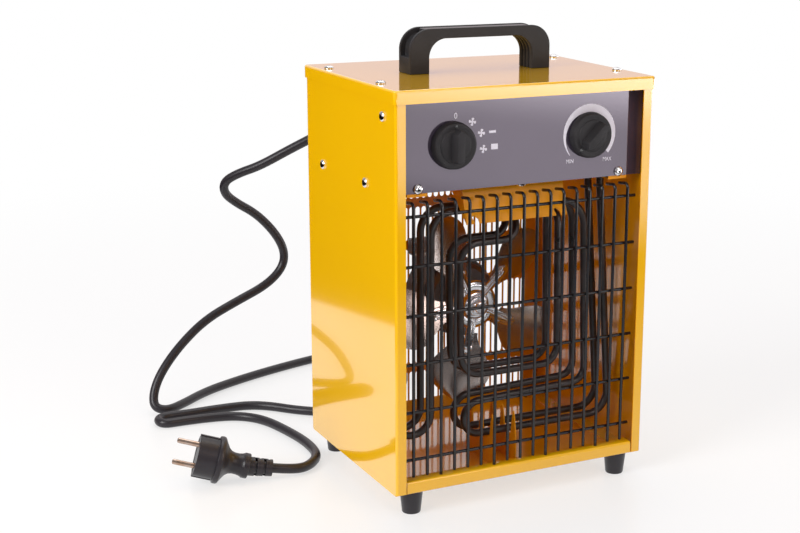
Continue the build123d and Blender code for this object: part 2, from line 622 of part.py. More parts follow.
def knob(x, turn):
    """A knob: a tapered skirt, a raised disc and a pointed grip across it."""
    body = turned([(KNOB_R, 0), (KNOB_R, 1.5), (KNOB_R - 1.2, KNOB_SKIRT)], KNOB_SIDES)
    body += turned([(KNOB_DISC_R, KNOB_SKIRT), (KNOB_DISC_R - 0.6, KNOB_SKIRT + 1)], KNOB_SIDES)
    reach, bar = KNOB_DISC_R - 0.4, KNOB_BAR / 2
    grip = make_face(Polyline((-bar, -reach + 2), (-bar + 2, -reach), (bar - 2, -reach),
                              (bar, -reach + 2), (bar, reach - 4), (0, reach + 2),
                              (-bar, reach - 4), close=True))
    body += Pos(0, 0, KNOB_SKIRT) * extrude(grip, KNOB_BAR_HEIGHT, taper=5)
    body -= turned([(KNOB_R - 3, 0), (KNOB_R - 3, 2)])
    body -= extrude(Circle(SPINDLE_R + RUNNING_GAP), KNOB_SKIRT)
    place = Plane((x, PANEL_FRONT - KNOB_GAP, KNOB_Z), x_dir=(1, 0, 0), z_dir=(0, -1, 0))
    return place * (Rot(0, 0, -turn) * body)


def spindle(x):
    """The spindle that a knob sits on, running in the bush behind it."""
    front = PANEL_FRONT - KNOB_GAP - KNOB_SKIRT + 0.5
    return peg(SPINDLE_R, (x, front, KNOB_Z), (0, 1, 0), PANEL_BACK + 10.0 - front)


def control_body(x, wide, high, deep):
    """A switch or thermostat behind the panel, with the bush that comes through it."""
    y = PANEL_BACK + SHEET_GAP
    body = block(x - wide / 2, x + wide / 2, y, y + deep, KNOB_Z - high / 2, KNOB_Z + high / 2)
    body = chamfer(body.edges().filter_by(Axis.Y), 2.0)
    body += peg(BUSH_R, (x, PANEL_FRONT - KNOB_GAP / 2, KNOB_Z), (0, 1, 0), 3.0)
    body -= peg(SPINDLE_R + RUNNING_GAP, (x, PANEL_FRONT - 3, KNOB_Z), (0, 1, 0), 14.5 + SHEET)
    return body


def rotary_switch():
    """The four-position switch, with blade tabs at its rear."""
    body = control_body(-KNOB_X, 34.0, 38.0, 30.0)
    rear = PANEL_BACK + SHEET_GAP + 30.0
    for i in range(3):
        for z in (-9.0, 9.0):
            x = -KNOB_X + (i - 1) * 9.0
            body += block(x - 0.4, x + 0.4, rear - 1, rear + 8, KNOB_Z + z - 3, KNOB_Z + z + 3)
    return body


def thermostat():
    """The capillary thermostat."""
    return control_body(KNOB_X, 38.0, 32.0, 24.0)


def thermostat_bulb():
    """The sensing bulb under the partition, on its capillary from the thermostat."""
    start = PANEL_BACK + SHEET_GAP + 24.0
    line = [(KNOB_X, start, KNOB_Z), (KNOB_X, BULB_Y, KNOB_Z), (KNOB_X, BULB_Y, BULB_Z),
            (KNOB_X - 20, BULB_Y, BULB_Z)]
    capillary = rod(line, [12, 8], 0.8, sides=4)
    return capillary + peg(3.0, (KNOB_X - 15, BULB_Y, BULB_Z), (-1, 0, 0), 62.0)


def bulb_clips():
    """Two clips that hang the bulb from the partition."""
    made = []
    for x in (KNOB_X - 28, KNOB_X - 64):
        strap = block(x - 4, x + 4, BULB_Y - 1, BULB_Y + 1, BULB_Z + 3, PARTITION_Z - SHEET_GAP)
        ring = extrude(Plane((x - 4, BULB_Y, BULB_Z), z_dir=(1, 0, 0)) * RegularPolygon(4.6, 8), 8)
        ring += strap
        made.append(ring - peg(3.0 + THREAD_GAP, (x - 6, BULB_Y, BULB_Z), (1, 0, 0), 12))
    return made


def terminal_block():
    """The block on the partition where the lead's cores end."""
    z = PARTITION_Z + SHEET + SHEET_GAP
    block_body = block(-32, 24, 40, 62, z, z + 17)
    block_body = chamfer(block_body.edges().filter_by(Axis.X), 1.5)
    for i in range(5):
        x = -26.8 + i * 11.2
        block_body -= hole(3.0, (x, 45.5, z + 9), (0, 0, 1), 12)
        block_body -= hole(3.0, (x, 56.5, z + 9), (0, 0, 1), 12)
    return block_body


# ---------------------------------------------------------------- handle

def handle():
    """The moulded handle: a rounded arch, open along its outer rim, with finger ribs below."""
    half, top = HANDLE_WIDTH / 2, HANDLE_HEIGHT
    outer = make_face(FilletPolyline((-half, 0), (-half, top), (half, top), (half, 0),
                                     radius=HANDLE_CORNER) + Line((half, 0), (-half, 0)))
    gap, under = half - HANDLE_LEG, top - HANDLE_RIM

    def opening(grow):
        wide, high = gap + grow, under + grow
        return make_face(FilletPolyline((-wide, -1), (-wide, high), (wide, high), (wide, -1),
                                        radius=HANDLE_INNER_CORNER + grow)
                         + Line((wide, -1), (-wide, -1)))

    arch = extrude(outer - opening(0), HANDLE_DEPTH / 2, both=True)
    inset = half - CHANNEL_DEPTH
    core = make_face(FilletPolyline((-inset, -1), (-inset, top - CHANNEL_DEPTH),
                                    (inset, top - CHANNEL_DEPTH), (inset, -1),
                                    radius=HANDLE_CORNER - CHANNEL_DEPTH)
                     + Line((inset, -1), (-inset, -1)))
    rim = Pos(0, 50 + CHANNEL_FLOOR) * Rectangle(2 * half + 4, 100) - core
    arch -= extrude(rim, HANDLE_DEPTH / 2 - CHANNEL_WALL, both=True)
    rib = opening(1.2)
    for i in (-1, 0, 1):
        arch -= Pos(0, 0, i * 5.6) * extrude(rib, 1.4, both=True)
    for way in (-1, 1):
        arch -= hole(SCREW_R + THREAD_GAP, (way * (half - HANDLE_LEG / 2), -1, 0), (0, 1, 0), 10)
    return Plane((0, HANDLE_Y, TOP), x_dir=(1, 0, 0), z_dir=(0, -1, 0)) * arch


def handle_grip():
    """The strip that closes the channel along the top of the handle."""
    reach = HANDLE_WIDTH / 2 - HANDLE_CORNER + 1.0
    half = HANDLE_DEPTH / 2 - CHANNEL_WALL - SHEET_GAP
    low = TOP + HANDLE_HEIGHT - CHANNEL_DEPTH + 0.05
    strip = block(-reach, reach, HANDLE_Y - half, HANDLE_Y + half, low, TOP + HANDLE_HEIGHT - 0.6)
    return fillet(strip.faces().sort_by(Axis.Z)[-1].edges(), 1.2)


# ---------------------------------------------------------------- fasteners

def side_screws():
    made = []
    for y, z in SIDE_SCREWS:
        for way in (-1, 1):
            made.append(screw((way * HALF_W, y, z), (-way, 0, 0)))
    return made


def lid_screws():
    return [screw((x, y, TOP), (0, 0, -1)) for x, y in LID_SCREWS]


def panel_screws():
    z = PANEL_BOTTOM + PANEL_SCREW_RISE
    return [screw((x, PANEL_FRONT, z), (0, 1, 0), length=6.0)
            for x in (-PANEL_SCREW_X, PANEL_SCREW_X)]


def rear_screws():
    made = [screw((x, REAR, z), (0, -1, 0)) for x, z in REAR_SCREWS]
    for x, z in MOUNT_SCREWS:
        made.append(screw((x, REAR_PANEL_OUT, z), (0, -1, 0), length=6.0, head=2.0))
    return made


def base_screws():
    return [screw((x, y, BASE), (0, 0, 1)) for x, y in BASE_SCREWS]


def foot_screws():
    return [screw((x, y, 8.0), (0, 0, 1), length=FOOT_HEIGHT - 8.0 + 4.0) for x, y in FEET]


def handle_screws():
    return [screw((x, y, UNDER_LID), (0, 0, 1), length=8.0) for x, y in HANDLE_SCREWS]


# ---------------------------------------------------------------- lead and plug

CORD_ROUTE = [
    (GLAND_X, REAR_PANEL_OUT + GLAND_OUT, GLAND_Z), (GLAND_X, 137, GLAND_Z),
    (-54, 164, 296), (-63, 192, 280), (-89, 218, 260.5), (-113.5, 236, 243), (-131, 252, 234),
    (-141.5, 264, 224.5), (-139, 272, 211), (-124.5, 277, 199), (-103, 282, 185.5),
    (-83, 285, 164.5), (-71.5, 286, 143.5), (-73.5, 286, 125.5), (-92.5, 284, 109), (-127, 281, 96),
    (-161.5, 277, 82), (-191, 270, 60.5), (-213, 262, 38.5), (-223, 257, 20.5), (-225.5, 248.5, 7.5),
    (-213.5, 242.5, 4.5), (-192, 257, 4.5), (-170, 275.5, 4.5), (-144.5, 291.5, 4.5),
    (-91.5, 315, 4.5), (-29, 335.5, 4.5), (22, 346, 4.5), (57, 300, 4.5), (42, 230, 4.5),
    (-3, 178, 4.5), (-56, 160, 4.5), (-93.5, 180, 4.5), (-127.5, 221.5, 4.5), (-165.5, 225.5, 4.5),
    (-198.5, 224.5, 4.5), (-229, 227, 4.5), (-231, 206, 4.5), (-208.5, 206, 4.5), (-181, 204, 4.5),
    (-156, 197, 4.5), (-138, 176, 4.5), (-128.5, 135.5, 4.5), (-123.4, 97, 4.5),
    (-126.7, 62.5, 4.5), (-145, 40.3, 5), (-162.6, 35.3, 6.9), (-179.8, 39.9, 9.7)]


def cable_gland():
    """The gland in the rear panel: a nut inside, a flange and a tapered sleeve outside."""
    body = turned([(GLAND_R - 1, -12), (GLAND_R, -11), (GLAND_R, 0)])
    body += turned([(GLAND_FLANGE_R, 0), (GLAND_FLANGE_R, 2.5), (GLAND_R, 4.5),
                    (CORD / 2 + 1.2, GLAND_OUT)])
    nut = extrude(RegularPolygon(GLAND_R + 3.5, 6), 4.0)
    body += Pos(0, 0, -SHEET - 0.1 - 4.0) * nut
    return Plane((GLAND_X, REAR_PANEL_OUT, GLAND_Z), z_dir=(0, 1, 0)) * body


def arc_radii(route):
    """For each corner, 0.45 of its shorter run over the tangent of half its turn."""
    points = [Vector(*point) for point in route]
    runs = [b - a for a, b in zip(points, points[1:])]
    return [0.45 * min(a.length, b.length) / math.tan(math.radians(a.get_angle(b)) / 2)
            for a, b in zip(runs, runs[1:])]


def power_cord():
    """The lead, from the gland to the plug's sleeve."""
    radii = arc_radii(CORD_ROUTE)
    path = FilletPolyline(*CORD_ROUTE, radius=radii)
    section = RegularPolygon(CORD / 2, TUBE_SIDES)
    cord = sweep(Plane(path @ 0, z_dir=path % 0) * section, path=path)
    print("cord radii", [round(radius, 1) for radius in radii])
    print("cord length", path.length)
    print("cord volume over section times length", cord.volume / (section.area * path.length))
    return cord


CORD_END = Vector(*CORD_ROUTE[-1])
SLEEVE_AXIS = (CORD_END - Vector(*CORD_ROUTE[-2])).normalized()
PLUG_OUT = Vector(*PLUG_AXIS).normalized()
PLUG_FACE = CORD_END + SLEEVE_AXIS * PLUG_RELIEF + PLUG_OUT * PLUG_LENGTH
PLUG = Plane(PLUG_FACE, x_dir=Vector(0, 0, 1).cross(PLUG_OUT).cross(PLUG_OUT), z_dir=PLUG_OUT)


def in_plug(shape):
    """Puts a shape that was drawn on the plug's face, +Z out of it, where the plug lies."""
    return PLUG * (Rot(0, 0, PLUG_ROLL) * shape)


def plug_body():
    """The moulded plug: a grooved round head, a collar, a waist, a ring and a slotted sleeve."""
    head, ring = 17.4, PLUG_LENGTH
    body = turned([(11.3, -ring), (11.3, -42.0), (9.6, -37.5), (9.8, -31.5), (13.4, -26.8),
                   (PLUG_COLLAR_R - 1, -head - 5), (PLUG_COLLAR_R, -head - 4),
                   (PLUG_COLLAR_R, -head - 1), (PLUG_COLLAR_R - 0.6, -head)], PLUG_SIDES)
    body += turned([(PLUG_R, -head), (PLUG_R, 0)], PLUG_SIDES)
    for way in (-1, 1):
        body -= Pos(way * PLUG_R, 0, -head / 2) * Box(3.2, 5.4, head)
        body -= Pos(0, way * PLUG_R, -head / 2) * Box(4.2, 3.0, head)
        bore = extrude(RegularPolygon(PIN_R + 2 * THREAD_GAP, TURNED_SIDES), 12.0)
        body -= Pos(way * PIN_SPACING / 2, 0, -11) * bore
    body = in_plug(body)
    sleeve = turned([(7.5, -PLUG_RELIEF), (8.4, 0)])
    core = turned([(5.6, -PLUG_RELIEF), (5.6, 0)], 8)
    for i in range(4):
        way = 1 if i % 2 else -1
        slot = Pos(way * 10, 0, -6.4 - 3.9 * i) * Box(18.4, 20, 2.1)
        sleeve -= slot - core
    place = Plane(PLUG_FACE - PLUG_OUT * (PLUG_LENGTH - 0.5), x_dir=PLUG.x_dir, z_dir=SLEEVE_AXIS)
    return body + place * sleeve


def plug_pins():
    """The two round pins."""
    made = []
    for way in (-1, 1):
        pin = turned([(PIN_R, -10), (PIN_R, PIN_LENGTH - 1.2), (PIN_R - 1.2, PIN_LENGTH)])
        made.append(in_plug(Pos(way * PIN_SPACING / 2, 0, 0) * pin))
    return made


def plug_contacts():
    """The two earth strips in the side grooves of the plug's head."""
    return [in_plug(Pos(0, way * (PLUG_R - 0.75), -8.5) * Box(3.6, 0.8, 15.0)) for way in (-1, 1)]


# ---------------------------------------------------------------- export

NODES = {
    "left_side_panel": [side_panel(-1)],
    "right_side_panel": [side_panel(1)],
    "base_tray": [base_tray()],
    "top_lid": [top_lid()],
    "rear_panel": [rear_panel()],
    "control_panel": [control_panel()],
    "partition_plate": [partition_plate()],
    "rubber_feet": feet(),
    "front_grille": [front_grille()],
    "outer_element": [outer_element()],
    "inner_element": [inner_element()],
    "element_terminals": element_terminals(),
    "element_bracket": [element_bracket()],
    "element_clip": [element_clip()],
    "thermal_cutout": [thermal_cutout()],
    "fan_blades": fan_blades(),
    "fan_spider": [fan_spider()],
    "fan_shaft": [fan_shaft()],
    "fan_nut": [fan_nut()],
    "motor_body": [motor_body()],
    "motor_front_cap": [motor_cap(MOTOR_FRONT + CAP_DEPTH, -1)],
    "motor_rear_cap": [motor_cap(MOTOR_FRONT + CAP_DEPTH + MOTOR_LENGTH, 1)],
    "motor_bracket": [motor_bracket()],
    "switch_knob": [knob(-KNOB_X, 0.0)],
    "switch_spindle": [spindle(-KNOB_X)],
    "thermostat_knob": [knob(KNOB_X, THERMOSTAT_REST)],
    "thermostat_spindle": [spindle(KNOB_X)],
    "rotary_switch": [rotary_switch()],
    "thermostat": [thermostat()],
    "thermostat_bulb": [thermostat_bulb()],
    "bulb_clips": bulb_clips(),
    "terminal_block": [terminal_block()],
    "handle": [handle()],
    "handle_grip": [handle_grip()],
    "side_screws": side_screws(),
    "lid_screws": lid_screws(),
    "panel_screws": panel_screws(),
    "rear_screws": rear_screws(),
    "base_screws": base_screws(),
    "foot_screws": foot_screws(),
    "handle_screws": handle_screws(),
    "cable_gland": [cable_gland()],
    "power_cord": [power_cord()],
    "plug_body": [plug_body()],
    "plug_pins": plug_pins(),
    "plug_contacts": plug_contacts(),
}

os.makedirs("parts", exist_ok=True)
for node, solids in NODES.items():
    save(node, *solids)
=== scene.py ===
"""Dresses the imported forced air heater: finishes for the nodes that show as they are, and modelled
pieces for the lid, walls, floor tray, slotted back, marks, knobs, grille, heating elements, fan,
cut-out, handle, feet, screws, gland, lead and plug.

Pieces are drawn in millimetres about the middle of the casing's floor print, and scaled and moved
into the part's frame, in metres, when they are finished.
"""

import json
import math

import bmesh
import bpy
from bpy.props import FloatProperty, FloatVectorProperty, IntProperty, PointerProperty
from mathutils import Matrix, Vector


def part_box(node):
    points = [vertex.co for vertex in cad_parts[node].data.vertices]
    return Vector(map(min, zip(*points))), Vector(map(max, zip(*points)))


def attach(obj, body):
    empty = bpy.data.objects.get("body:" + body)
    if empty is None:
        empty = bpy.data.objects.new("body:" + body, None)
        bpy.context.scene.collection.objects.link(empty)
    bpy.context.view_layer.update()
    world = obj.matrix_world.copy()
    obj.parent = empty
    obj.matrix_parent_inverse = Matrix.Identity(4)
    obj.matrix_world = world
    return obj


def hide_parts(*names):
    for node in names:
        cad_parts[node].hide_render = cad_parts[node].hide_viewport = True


bl_info = {
    "name": "Forced air heater",
    "version": (1, 0, 0),
    "blender": (4, 5, 0),
    "location": "View3D > Sidebar > Heater",
    "description": "Adds the modelled pieces and finishes of a portable forced air heater",
    "category": "Object",
}

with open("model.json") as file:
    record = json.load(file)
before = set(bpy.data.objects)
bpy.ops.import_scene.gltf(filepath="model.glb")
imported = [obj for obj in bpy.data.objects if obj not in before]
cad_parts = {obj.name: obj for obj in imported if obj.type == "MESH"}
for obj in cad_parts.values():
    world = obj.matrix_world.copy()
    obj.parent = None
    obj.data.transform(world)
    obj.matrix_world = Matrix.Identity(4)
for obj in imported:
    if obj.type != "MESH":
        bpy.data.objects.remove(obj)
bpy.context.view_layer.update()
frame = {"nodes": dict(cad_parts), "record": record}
WALL_LOW, WALL_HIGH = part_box("right_side_panel")
MM = 0.001
TO_PART = Matrix.Translation((0, (WALL_LOW.y + WALL_HIGH.y) / 2, 0)) @ Matrix.Scale(MM, 4)
FROM_PART = TO_PART.inverted()
FACING = Matrix(((1, 0, 0, 0), (0, 0, -1, 0), (0, 1, 0, 0), (0, 0, 0, 1)))  # flat to upright
BROAD_FACE = 4e-4     # square metres, above which a face is flat sheet
GRAIN_DEPTH = 0.0001
WHITE = (1, 1, 1, 1)


def cad_box(node):
    """The lowest and highest corner of a CAD node in the drawing's millimetres."""
    low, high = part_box(node)
    return FROM_PART @ low, FROM_PART @ high


# ---- what a user would change

def colour(name, description, default):
    return FloatVectorProperty(name=name, description=description, subtype="COLOR",
                               min=0.0, max=1.0, size=3, default=default)


class HeaterColours(bpy.types.PropertyGroup):
    """Colours of the heater's finishes, linear."""
    paint: colour("Casing paint", "Gloss paint of the casing", (0.90, 0.49, 0.001))
    # the casing's own paint, darker and more orange: painted shade and warm bounced light inside the
    # casing
    inner: colour("Inner paint", "Paint inside the casing", (0.92, 0.36, 0.001))
    panel: colour("Panel paint", "Gloss paint of the control panel", (0.050, 0.043, 0.060))
    wire: colour("Grille coating", "Coating of the grille wires", (0.007, 0.0065, 0.008))
    element: colour("Element", "Oxidised tube of the heating elements", (0.012, 0.0095, 0.010))
    zinc: colour("Zinc plate", "Plated steel of the inner brackets", (0.55, 0.55, 0.56))
    bright: colour("Bright steel", "Polished hub, screws and pins", (0.90, 0.89, 0.91))
    # grey metal warmed towards orange: partly the blades' own colour, partly a painted reflection of
    # the orange paint round them
    blade: colour("Fan blade", "Satin metal of the fan blades", (0.58, 0.51, 0.48))
    motor: colour("Motor", "Laminated steel of the motor", (0.20, 0.20, 0.21))
    plastic: colour("Black plastic", "Moulded knobs and handle", (0.022, 0.021, 0.023))
    rubber: colour("Black rubber", "Feet, lead and plug", (0.018, 0.015, 0.019))
    printing: colour("Printing", "Marks printed on the control panel", (0.84, 0.83, 0.92))
    brass: colour("Brass", "Earth strips and sensing bulb", (0.52, 0.36, 0.16))
    white: colour("White plastic", "Terminal block and switch body", (0.70, 0.68, 0.62))
    brown: colour("Brown plastic", "Thermostat body", (0.09, 0.04, 0.02))
    # the steel pins coloured copper brown: a painted reflection of the warm surroundings
    pins: colour("Plug pins", "Warm metal of the plug's pins", (0.50, 0.33, 0.23))
    floor: colour("Floor", "Pale floor under the heater", (0.90, 0.90, 0.90))


def length(name, description, default):
    return FloatProperty(name=name, description=description, unit="LENGTH", subtype="DISTANCE",
                         min=0.0, precision=5, default=default * MM)


class HeaterSizes(bpy.types.PropertyGroup):
    """Sizes of the modelled pieces."""
    wire: length("Grille wire", "Diameter of the grille wires", 2.75)
    hook: length("Hook bend", "Radius at the top of each grille wire", 4.0)
    tube: length("Element tube", "Diameter of the heating elements", 6.5)
    lead: length("Lead", "Diameter of the mains lead", 8.8)
    lid_edge: length("Lid edge", "Radius of the lid's upper edges", 1.7)
    moulded_edge: length("Moulded edge", "Radius of the handle's edges", 0.7)
    wires: IntProperty(name="Wires", description="Upright wires of the grille", min=3, default=17)


def mm(size):
    """A length property in the drawing's millimetres."""
    return size / MM


# ---- finishes

def add_nodes(tree, *kinds):
    """New nodes in a shader tree, one of each kind."""
    return [tree.nodes.new("ShaderNode" + kind) for kind in kinds]


def empty_tree(holder):
    """The cleared node tree of a material or a world."""
    holder.use_nodes = True
    holder.node_tree.nodes.clear()
    return holder.node_tree


def join(tree, *rows):
    """Links an output of one node, or a bare socket, to an input of another, row by row."""
    for *source, node, socket in rows:
        out = source[0].outputs[source[1]] if len(source) > 1 else source[0]
        tree.links.new(out, node.inputs[socket])


def surface_group():
    """Patches of a second colour, uneven roughness and a fine grain, for every finish."""
    group = bpy.data.node_groups.get("surface_detail")
    if group:
        return group
    group = bpy.data.node_groups.new("surface_detail", "ShaderNodeTree")
    for way, kind, names in (
            ("INPUT", "Vector", ("Vector",)), ("INPUT", "Color", ("Colour", "Second Colour")),
            ("INPUT", "Float", ("Patch Scale", "Patch Amount", "Roughness", "Roughness Spread",
                                "Grain Scale")),
            ("OUTPUT", "Color", ("Colour",)), ("OUTPUT", "Float", ("Roughness", "Grain"))):
        for name in names:
            group.interface.new_socket(name, in_out=way, socket_type="NodeSocket" + kind)
    given, made = group.nodes.new("NodeGroupInput"), group.nodes.new("NodeGroupOutput")
    patches, grain, spread, mix, amount, centred, scaled, summed = add_nodes(
        group, "TexNoise", "TexNoise", "MapRange", "Mix", "Math", "Math", "Math", "Math")
    patches.inputs["Detail"].default_value = 4.0
    grain.inputs["Detail"].default_value = 3.0
    spread.inputs["From Min"].default_value = 0.38
    spread.inputs["From Max"].default_value = 0.68
    mix.data_type = "RGBA"
    amount.operation = scaled.operation = "MULTIPLY"
    centred.operation, summed.operation = "SUBTRACT", "ADD"
    centred.inputs[1].default_value = 0.5
    summed.use_clamp = True
    join(group, (given, "Vector", patches, "Vector"), (given, "Patch Scale", patches, "Scale"),
         (given, "Vector", grain, "Vector"), (given, "Grain Scale", grain, "Scale"),
         (patches, "Fac", spread, "Value"), (spread, "Result", amount, 0),
         (given, "Patch Amount", amount, 1), (amount, 0, mix, "Factor"),
         (given, "Colour", mix, "A"), (given, "Second Colour", mix, "B"),
         (mix, "Result", made, "Colour"), (patches, "Fac", centred, 0), (centred, 0, scaled, 0),
         (given, "Roughness Spread", scaled, 1), (scaled, 0, summed, 0),
         (given, "Roughness", summed, 1), (summed, 0, made, "Roughness"),
         (grain, "Fac", made, "Grain"))
    return group


def finish(name, base, second, roughness, spread, patch_scale, grain_scale, relief, patch=0.5,
           stretch=(1.0, 1.0, 1.0), metallic=0.0, coat=0.0, coat_roughness=0.05, ior=1.5,
           tints=None):
    """A finish whose colour, roughness and grain vary over the surface in object coordinates."""
    material = bpy.data.materials.get(name) or bpy.data.materials.new(name)
    tree = empty_tree(material)
    out, shader, place, mapping, detail, bump = add_nodes(
        tree, "OutputMaterial", "BsdfPrincipled", "TexCoord", "Mapping", "Group", "Bump")
    detail.node_tree = surface_group()
    for node, values in (
            (detail, {"Colour": (*base, 1), "Second Colour": (*second, 1), "Roughness": roughness,
                      "Patch Scale": patch_scale, "Patch Amount": patch, "Grain Scale": grain_scale,
                      "Roughness Spread": spread}),
            (mapping, {"Scale": stretch}), (bump, {"Strength": relief, "Distance": GRAIN_DEPTH}),
            (shader, {"Metallic": metallic, "Coat Weight": coat, "Coat Roughness": coat_roughness,
                      "IOR": ior, **(tints or {})})):
        for socket, value in values.items():
            node.inputs[socket].default_value = value
    join(tree, (place, "Object", mapping, "Vector"), (mapping, "Vector", detail, "Vector"),
         (detail, "Colour", shader, "Base Color"), (detail, "Roughness", shader, "Roughness"),
         (detail, "Grain", bump, "Height"), (bump, "Normal", shader, "Normal"),
         (shader, "BSDF", out, "Surface"))


PANEL_TINTS = {"Specular Tint": (0.98, 0.87, 1.0, 1), "Coat Tint": (0.98, 0.90, 1.0, 1)}

# Each finish: its colour, its second colour (a share of the first, or its own), roughness and its
# spread, patch scale, grain scale, relief, and what it has beyond these.
FINISHES = {
    "yellow_paint": ("paint", 0.96, 0.13, 0.04, 9.0, 420.0, 0.05,
        dict(coat=1.0, coat_roughness=0.03)),
    # the casing paint inside, in the darker inside colour: painted shade
    "inner_paint": ("inner", 0.94, 0.13, 0.04, 9.0, 420.0, 0.05,
        dict(coat=0.9, coat_roughness=0.04)),
    # the orange brackets inside: their own orange paint, darkened to the inside colour as painted
    # shade
    "bracket_paint": ("inner", 0.92, 0.34, 0.08, 12.0, 420.0, 0.05,
        dict(coat=0.15, coat_roughness=0.2, ior=1.3)),
    "black_paint": ("panel", 1.25, 0.06, 0.03, 14.0, 260.0, 0.10,
        dict(coat=0.5, coat_roughness=0.03, ior=1.62, tints=PANEL_TINTS)),
    "wire_black": ("wire", 2.0, 0.22, 0.10, 60.0, 900.0, 0.12, {}),
    "element_black": ("element", (0.042, 0.031, 0.031), 0.30, 0.16, 55.0, 1100.0, 0.18,
        dict(ior=1.6, patch=0.8)),
    "zinc_steel": ("zinc", 0.72, 0.38, 0.20, 70.0, 500.0, 0.10,
        dict(metallic=1.0, stretch=(1.0, 1.0, 0.12))),
    "bright_steel": ("bright", 0.92, 0.16, 0.06, 60.0, 900.0, 0.01, dict(metallic=1.0, patch=0.2)),
    "blade_metal": ("blade", 0.86, 0.24, 0.10, 26.0, 420.0, 0.08,
        dict(metallic=1.0, stretch=(1.0, 0.2, 1.0))),
    "motor_metal": ("motor", 0.6, 0.45, 0.15, 50.0, 1400.0, 0.35,
        dict(metallic=0.9, stretch=(1.0, 3.0, 1.0))),
    "black_plastic": ("plastic", 1.7, 0.46, 0.12, 35.0, 2600.0, 0.22, dict(ior=1.33)),
    "grip_plastic": ("plastic", 1.4, 0.30, 0.08, 30.0, 1500.0, 0.10, {}),
    "white_plastic": ("white", 0.88, 0.48, 0.08, 40.0, 1800.0, 0.10, {}),
    "brown_plastic": ("brown", 0.7, 0.28, 0.08, 40.0, 1500.0, 0.08, {}),
    "black_rubber": ("rubber", 1.4, 0.36, 0.12, 45.0, 1700.0, 0.20, dict(ior=1.45)),
    "brass_parts": ("brass", 0.75, 0.36, 0.16, 90.0, 800.0, 0.08, dict(metallic=0.85)),
    "panel_print": ("printing", 0.9, 0.42, 0.06, 120.0, 2200.0, 0.10, {}),
    # the plug pins' copper brown is a painted reflection
    "copper_glow": ("pins", (0.72, 0.68, 0.66), 0.20, 0.10, 110.0, 900.0, 0.04, dict(metallic=1.0)),
}

# CAD nodes that are painted otherwise than their slot says, in the darker inside colour that stands
# for painted shade
OTHER_PAINTS = {"partition_plate": "bracket_paint", "element_bracket": "bracket_paint",
                "element_clip": "bracket_paint"}


class AddFinishes(bpy.types.Operator):
    """Makes the finishes and gives them to the CAD nodes that show as they are"""
    bl_idname = "heater.add_finishes"
    bl_label = "Finishes"

    def execute(self, context):
        for name, (key, second, *values, more) in FINISHES.items():
            base = getattr(context.scene.heater_colours, key)
            if not isinstance(second, tuple):
                second = tuple(min(1.0, channel * second) for channel in base)
            finish(name, base, second, *values, **more)
        for part in frame["record"]["subparts"]:
            name = OTHER_PAINTS.get(part["node"], part["material_slot"])
            for slot in frame["nodes"][part["node"]].material_slots:
                slot.material = bpy.data.materials[name]
        return {"FINISHED"}


# ---- shaping

def verts_of(geom):
    """The vertices in what an operator gives back."""
    return [v for v in geom if isinstance(v, bmesh.types.BMVert)]


def edges_of(geom):
    return [e for e in geom if isinstance(e, bmesh.types.BMEdge)]


def merge(bm, reach):
    bmesh.ops.remove_doubles(bm, verts=bm.verts, dist=reach)


def tidy(bm):
    """Merges coincident points and turns the faces outwards."""
    merge(bm, 0.0005)
    bmesh.ops.recalc_face_normals(bm, faces=bm.faces)
    return bm


def round_edges(bm, edges, radius, segments=3):
    if edges and radius > 0:
        bmesh.ops.bevel(bm, geom=list(edges), offset=radius, offset_type="OFFSET",
                        segments=segments, profile=0.5, affect="EDGES", material=-1,
                        clamp_overlap=True)
    return bm


def round_corners(bm, corners, radius, segments):
    bmesh.ops.bevel(bm, geom=corners, offset=radius, offset_type="OFFSET", segments=segments,
                    profile=0.5, affect="VERTICES", material=-1)


def sharp_edges(bm, angle=25.0):
    """The edges of a closed shape that turn by more than an angle in degrees."""
    limit = math.radians(angle)
    return [e for e in bm.edges if len(e.link_faces) == 2 and e.calc_face_angle(0.0) > limit]


def brick(low, high, edge=0.0):
    """A block between two corners, with rounded edges."""
    low, high = Vector(low), Vector(high)
    bm = bmesh.new()
    bmesh.ops.create_cube(bm, size=1.0)
    bmesh.ops.scale(bm, vec=high - low, verts=bm.verts)
    bmesh.ops.translate(bm, vec=(low + high) / 2, verts=bm.verts)
    return round_edges(bm, bm.edges, edge, 2)


def turned(profile, steps=32):
    """A turned piece: (radius, height) pairs spun round the upright axis."""
    bm = bmesh.new()
    points = [bm.verts.new((radius, 0, height)) for radius, height in profile]
    edges = [bm.edges.new(pair) for pair in zip(points, points[1:])]
    bmesh.ops.spin(bm, geom=points + edges, cent=(0, 0, 0), axis=(0, 0, 1), angle=math.tau,
                   steps=steps, use_merge=True, use_duplicate=False)
    return tidy(bm)


def flat(outline, radii=None, segments=5):
    """A flat face with its corners rounded, each by its own radius."""
    bm = bmesh.new()
    corners = [bm.verts.new((x, y, 0)) for x, y in outline]
    bm.faces.new(corners)
    for corner, radius in zip(corners, radii or []):
        if radius > 0:
            round_corners(bm, [corner], radius, segments)
    return bm


def oblong(half_width, half_height):
    return flat([(-half_width, -half_height), (half_width, -half_height),
                 (half_width, half_height), (-half_width, half_height)])


def disc(radius, sides):
    bm = bmesh.new()
    bmesh.ops.create_circle(bm, cap_ends=True, radius=radius, segments=sides)
    return bm


def thick(bm, height, edge=0.0, segments=2, taper=1.0):
    """Pulls a flat shape up into a plate, with its upper edges rounded."""
    top = verts_of(bmesh.ops.extrude_face_region(bm, geom=list(bm.faces))["geom"])
    bmesh.ops.translate(bm, vec=(0, 0, height), verts=top)
    if taper != 1.0:
        bmesh.ops.scale(bm, vec=(taper, taper, 1), verts=top)
    tidy(bm)
    rim = [e for e in sharp_edges(bm) if all(v.co.z > height - 0.001 for v in e.verts)]
    return round_edges(bm, rim, edge, segments)


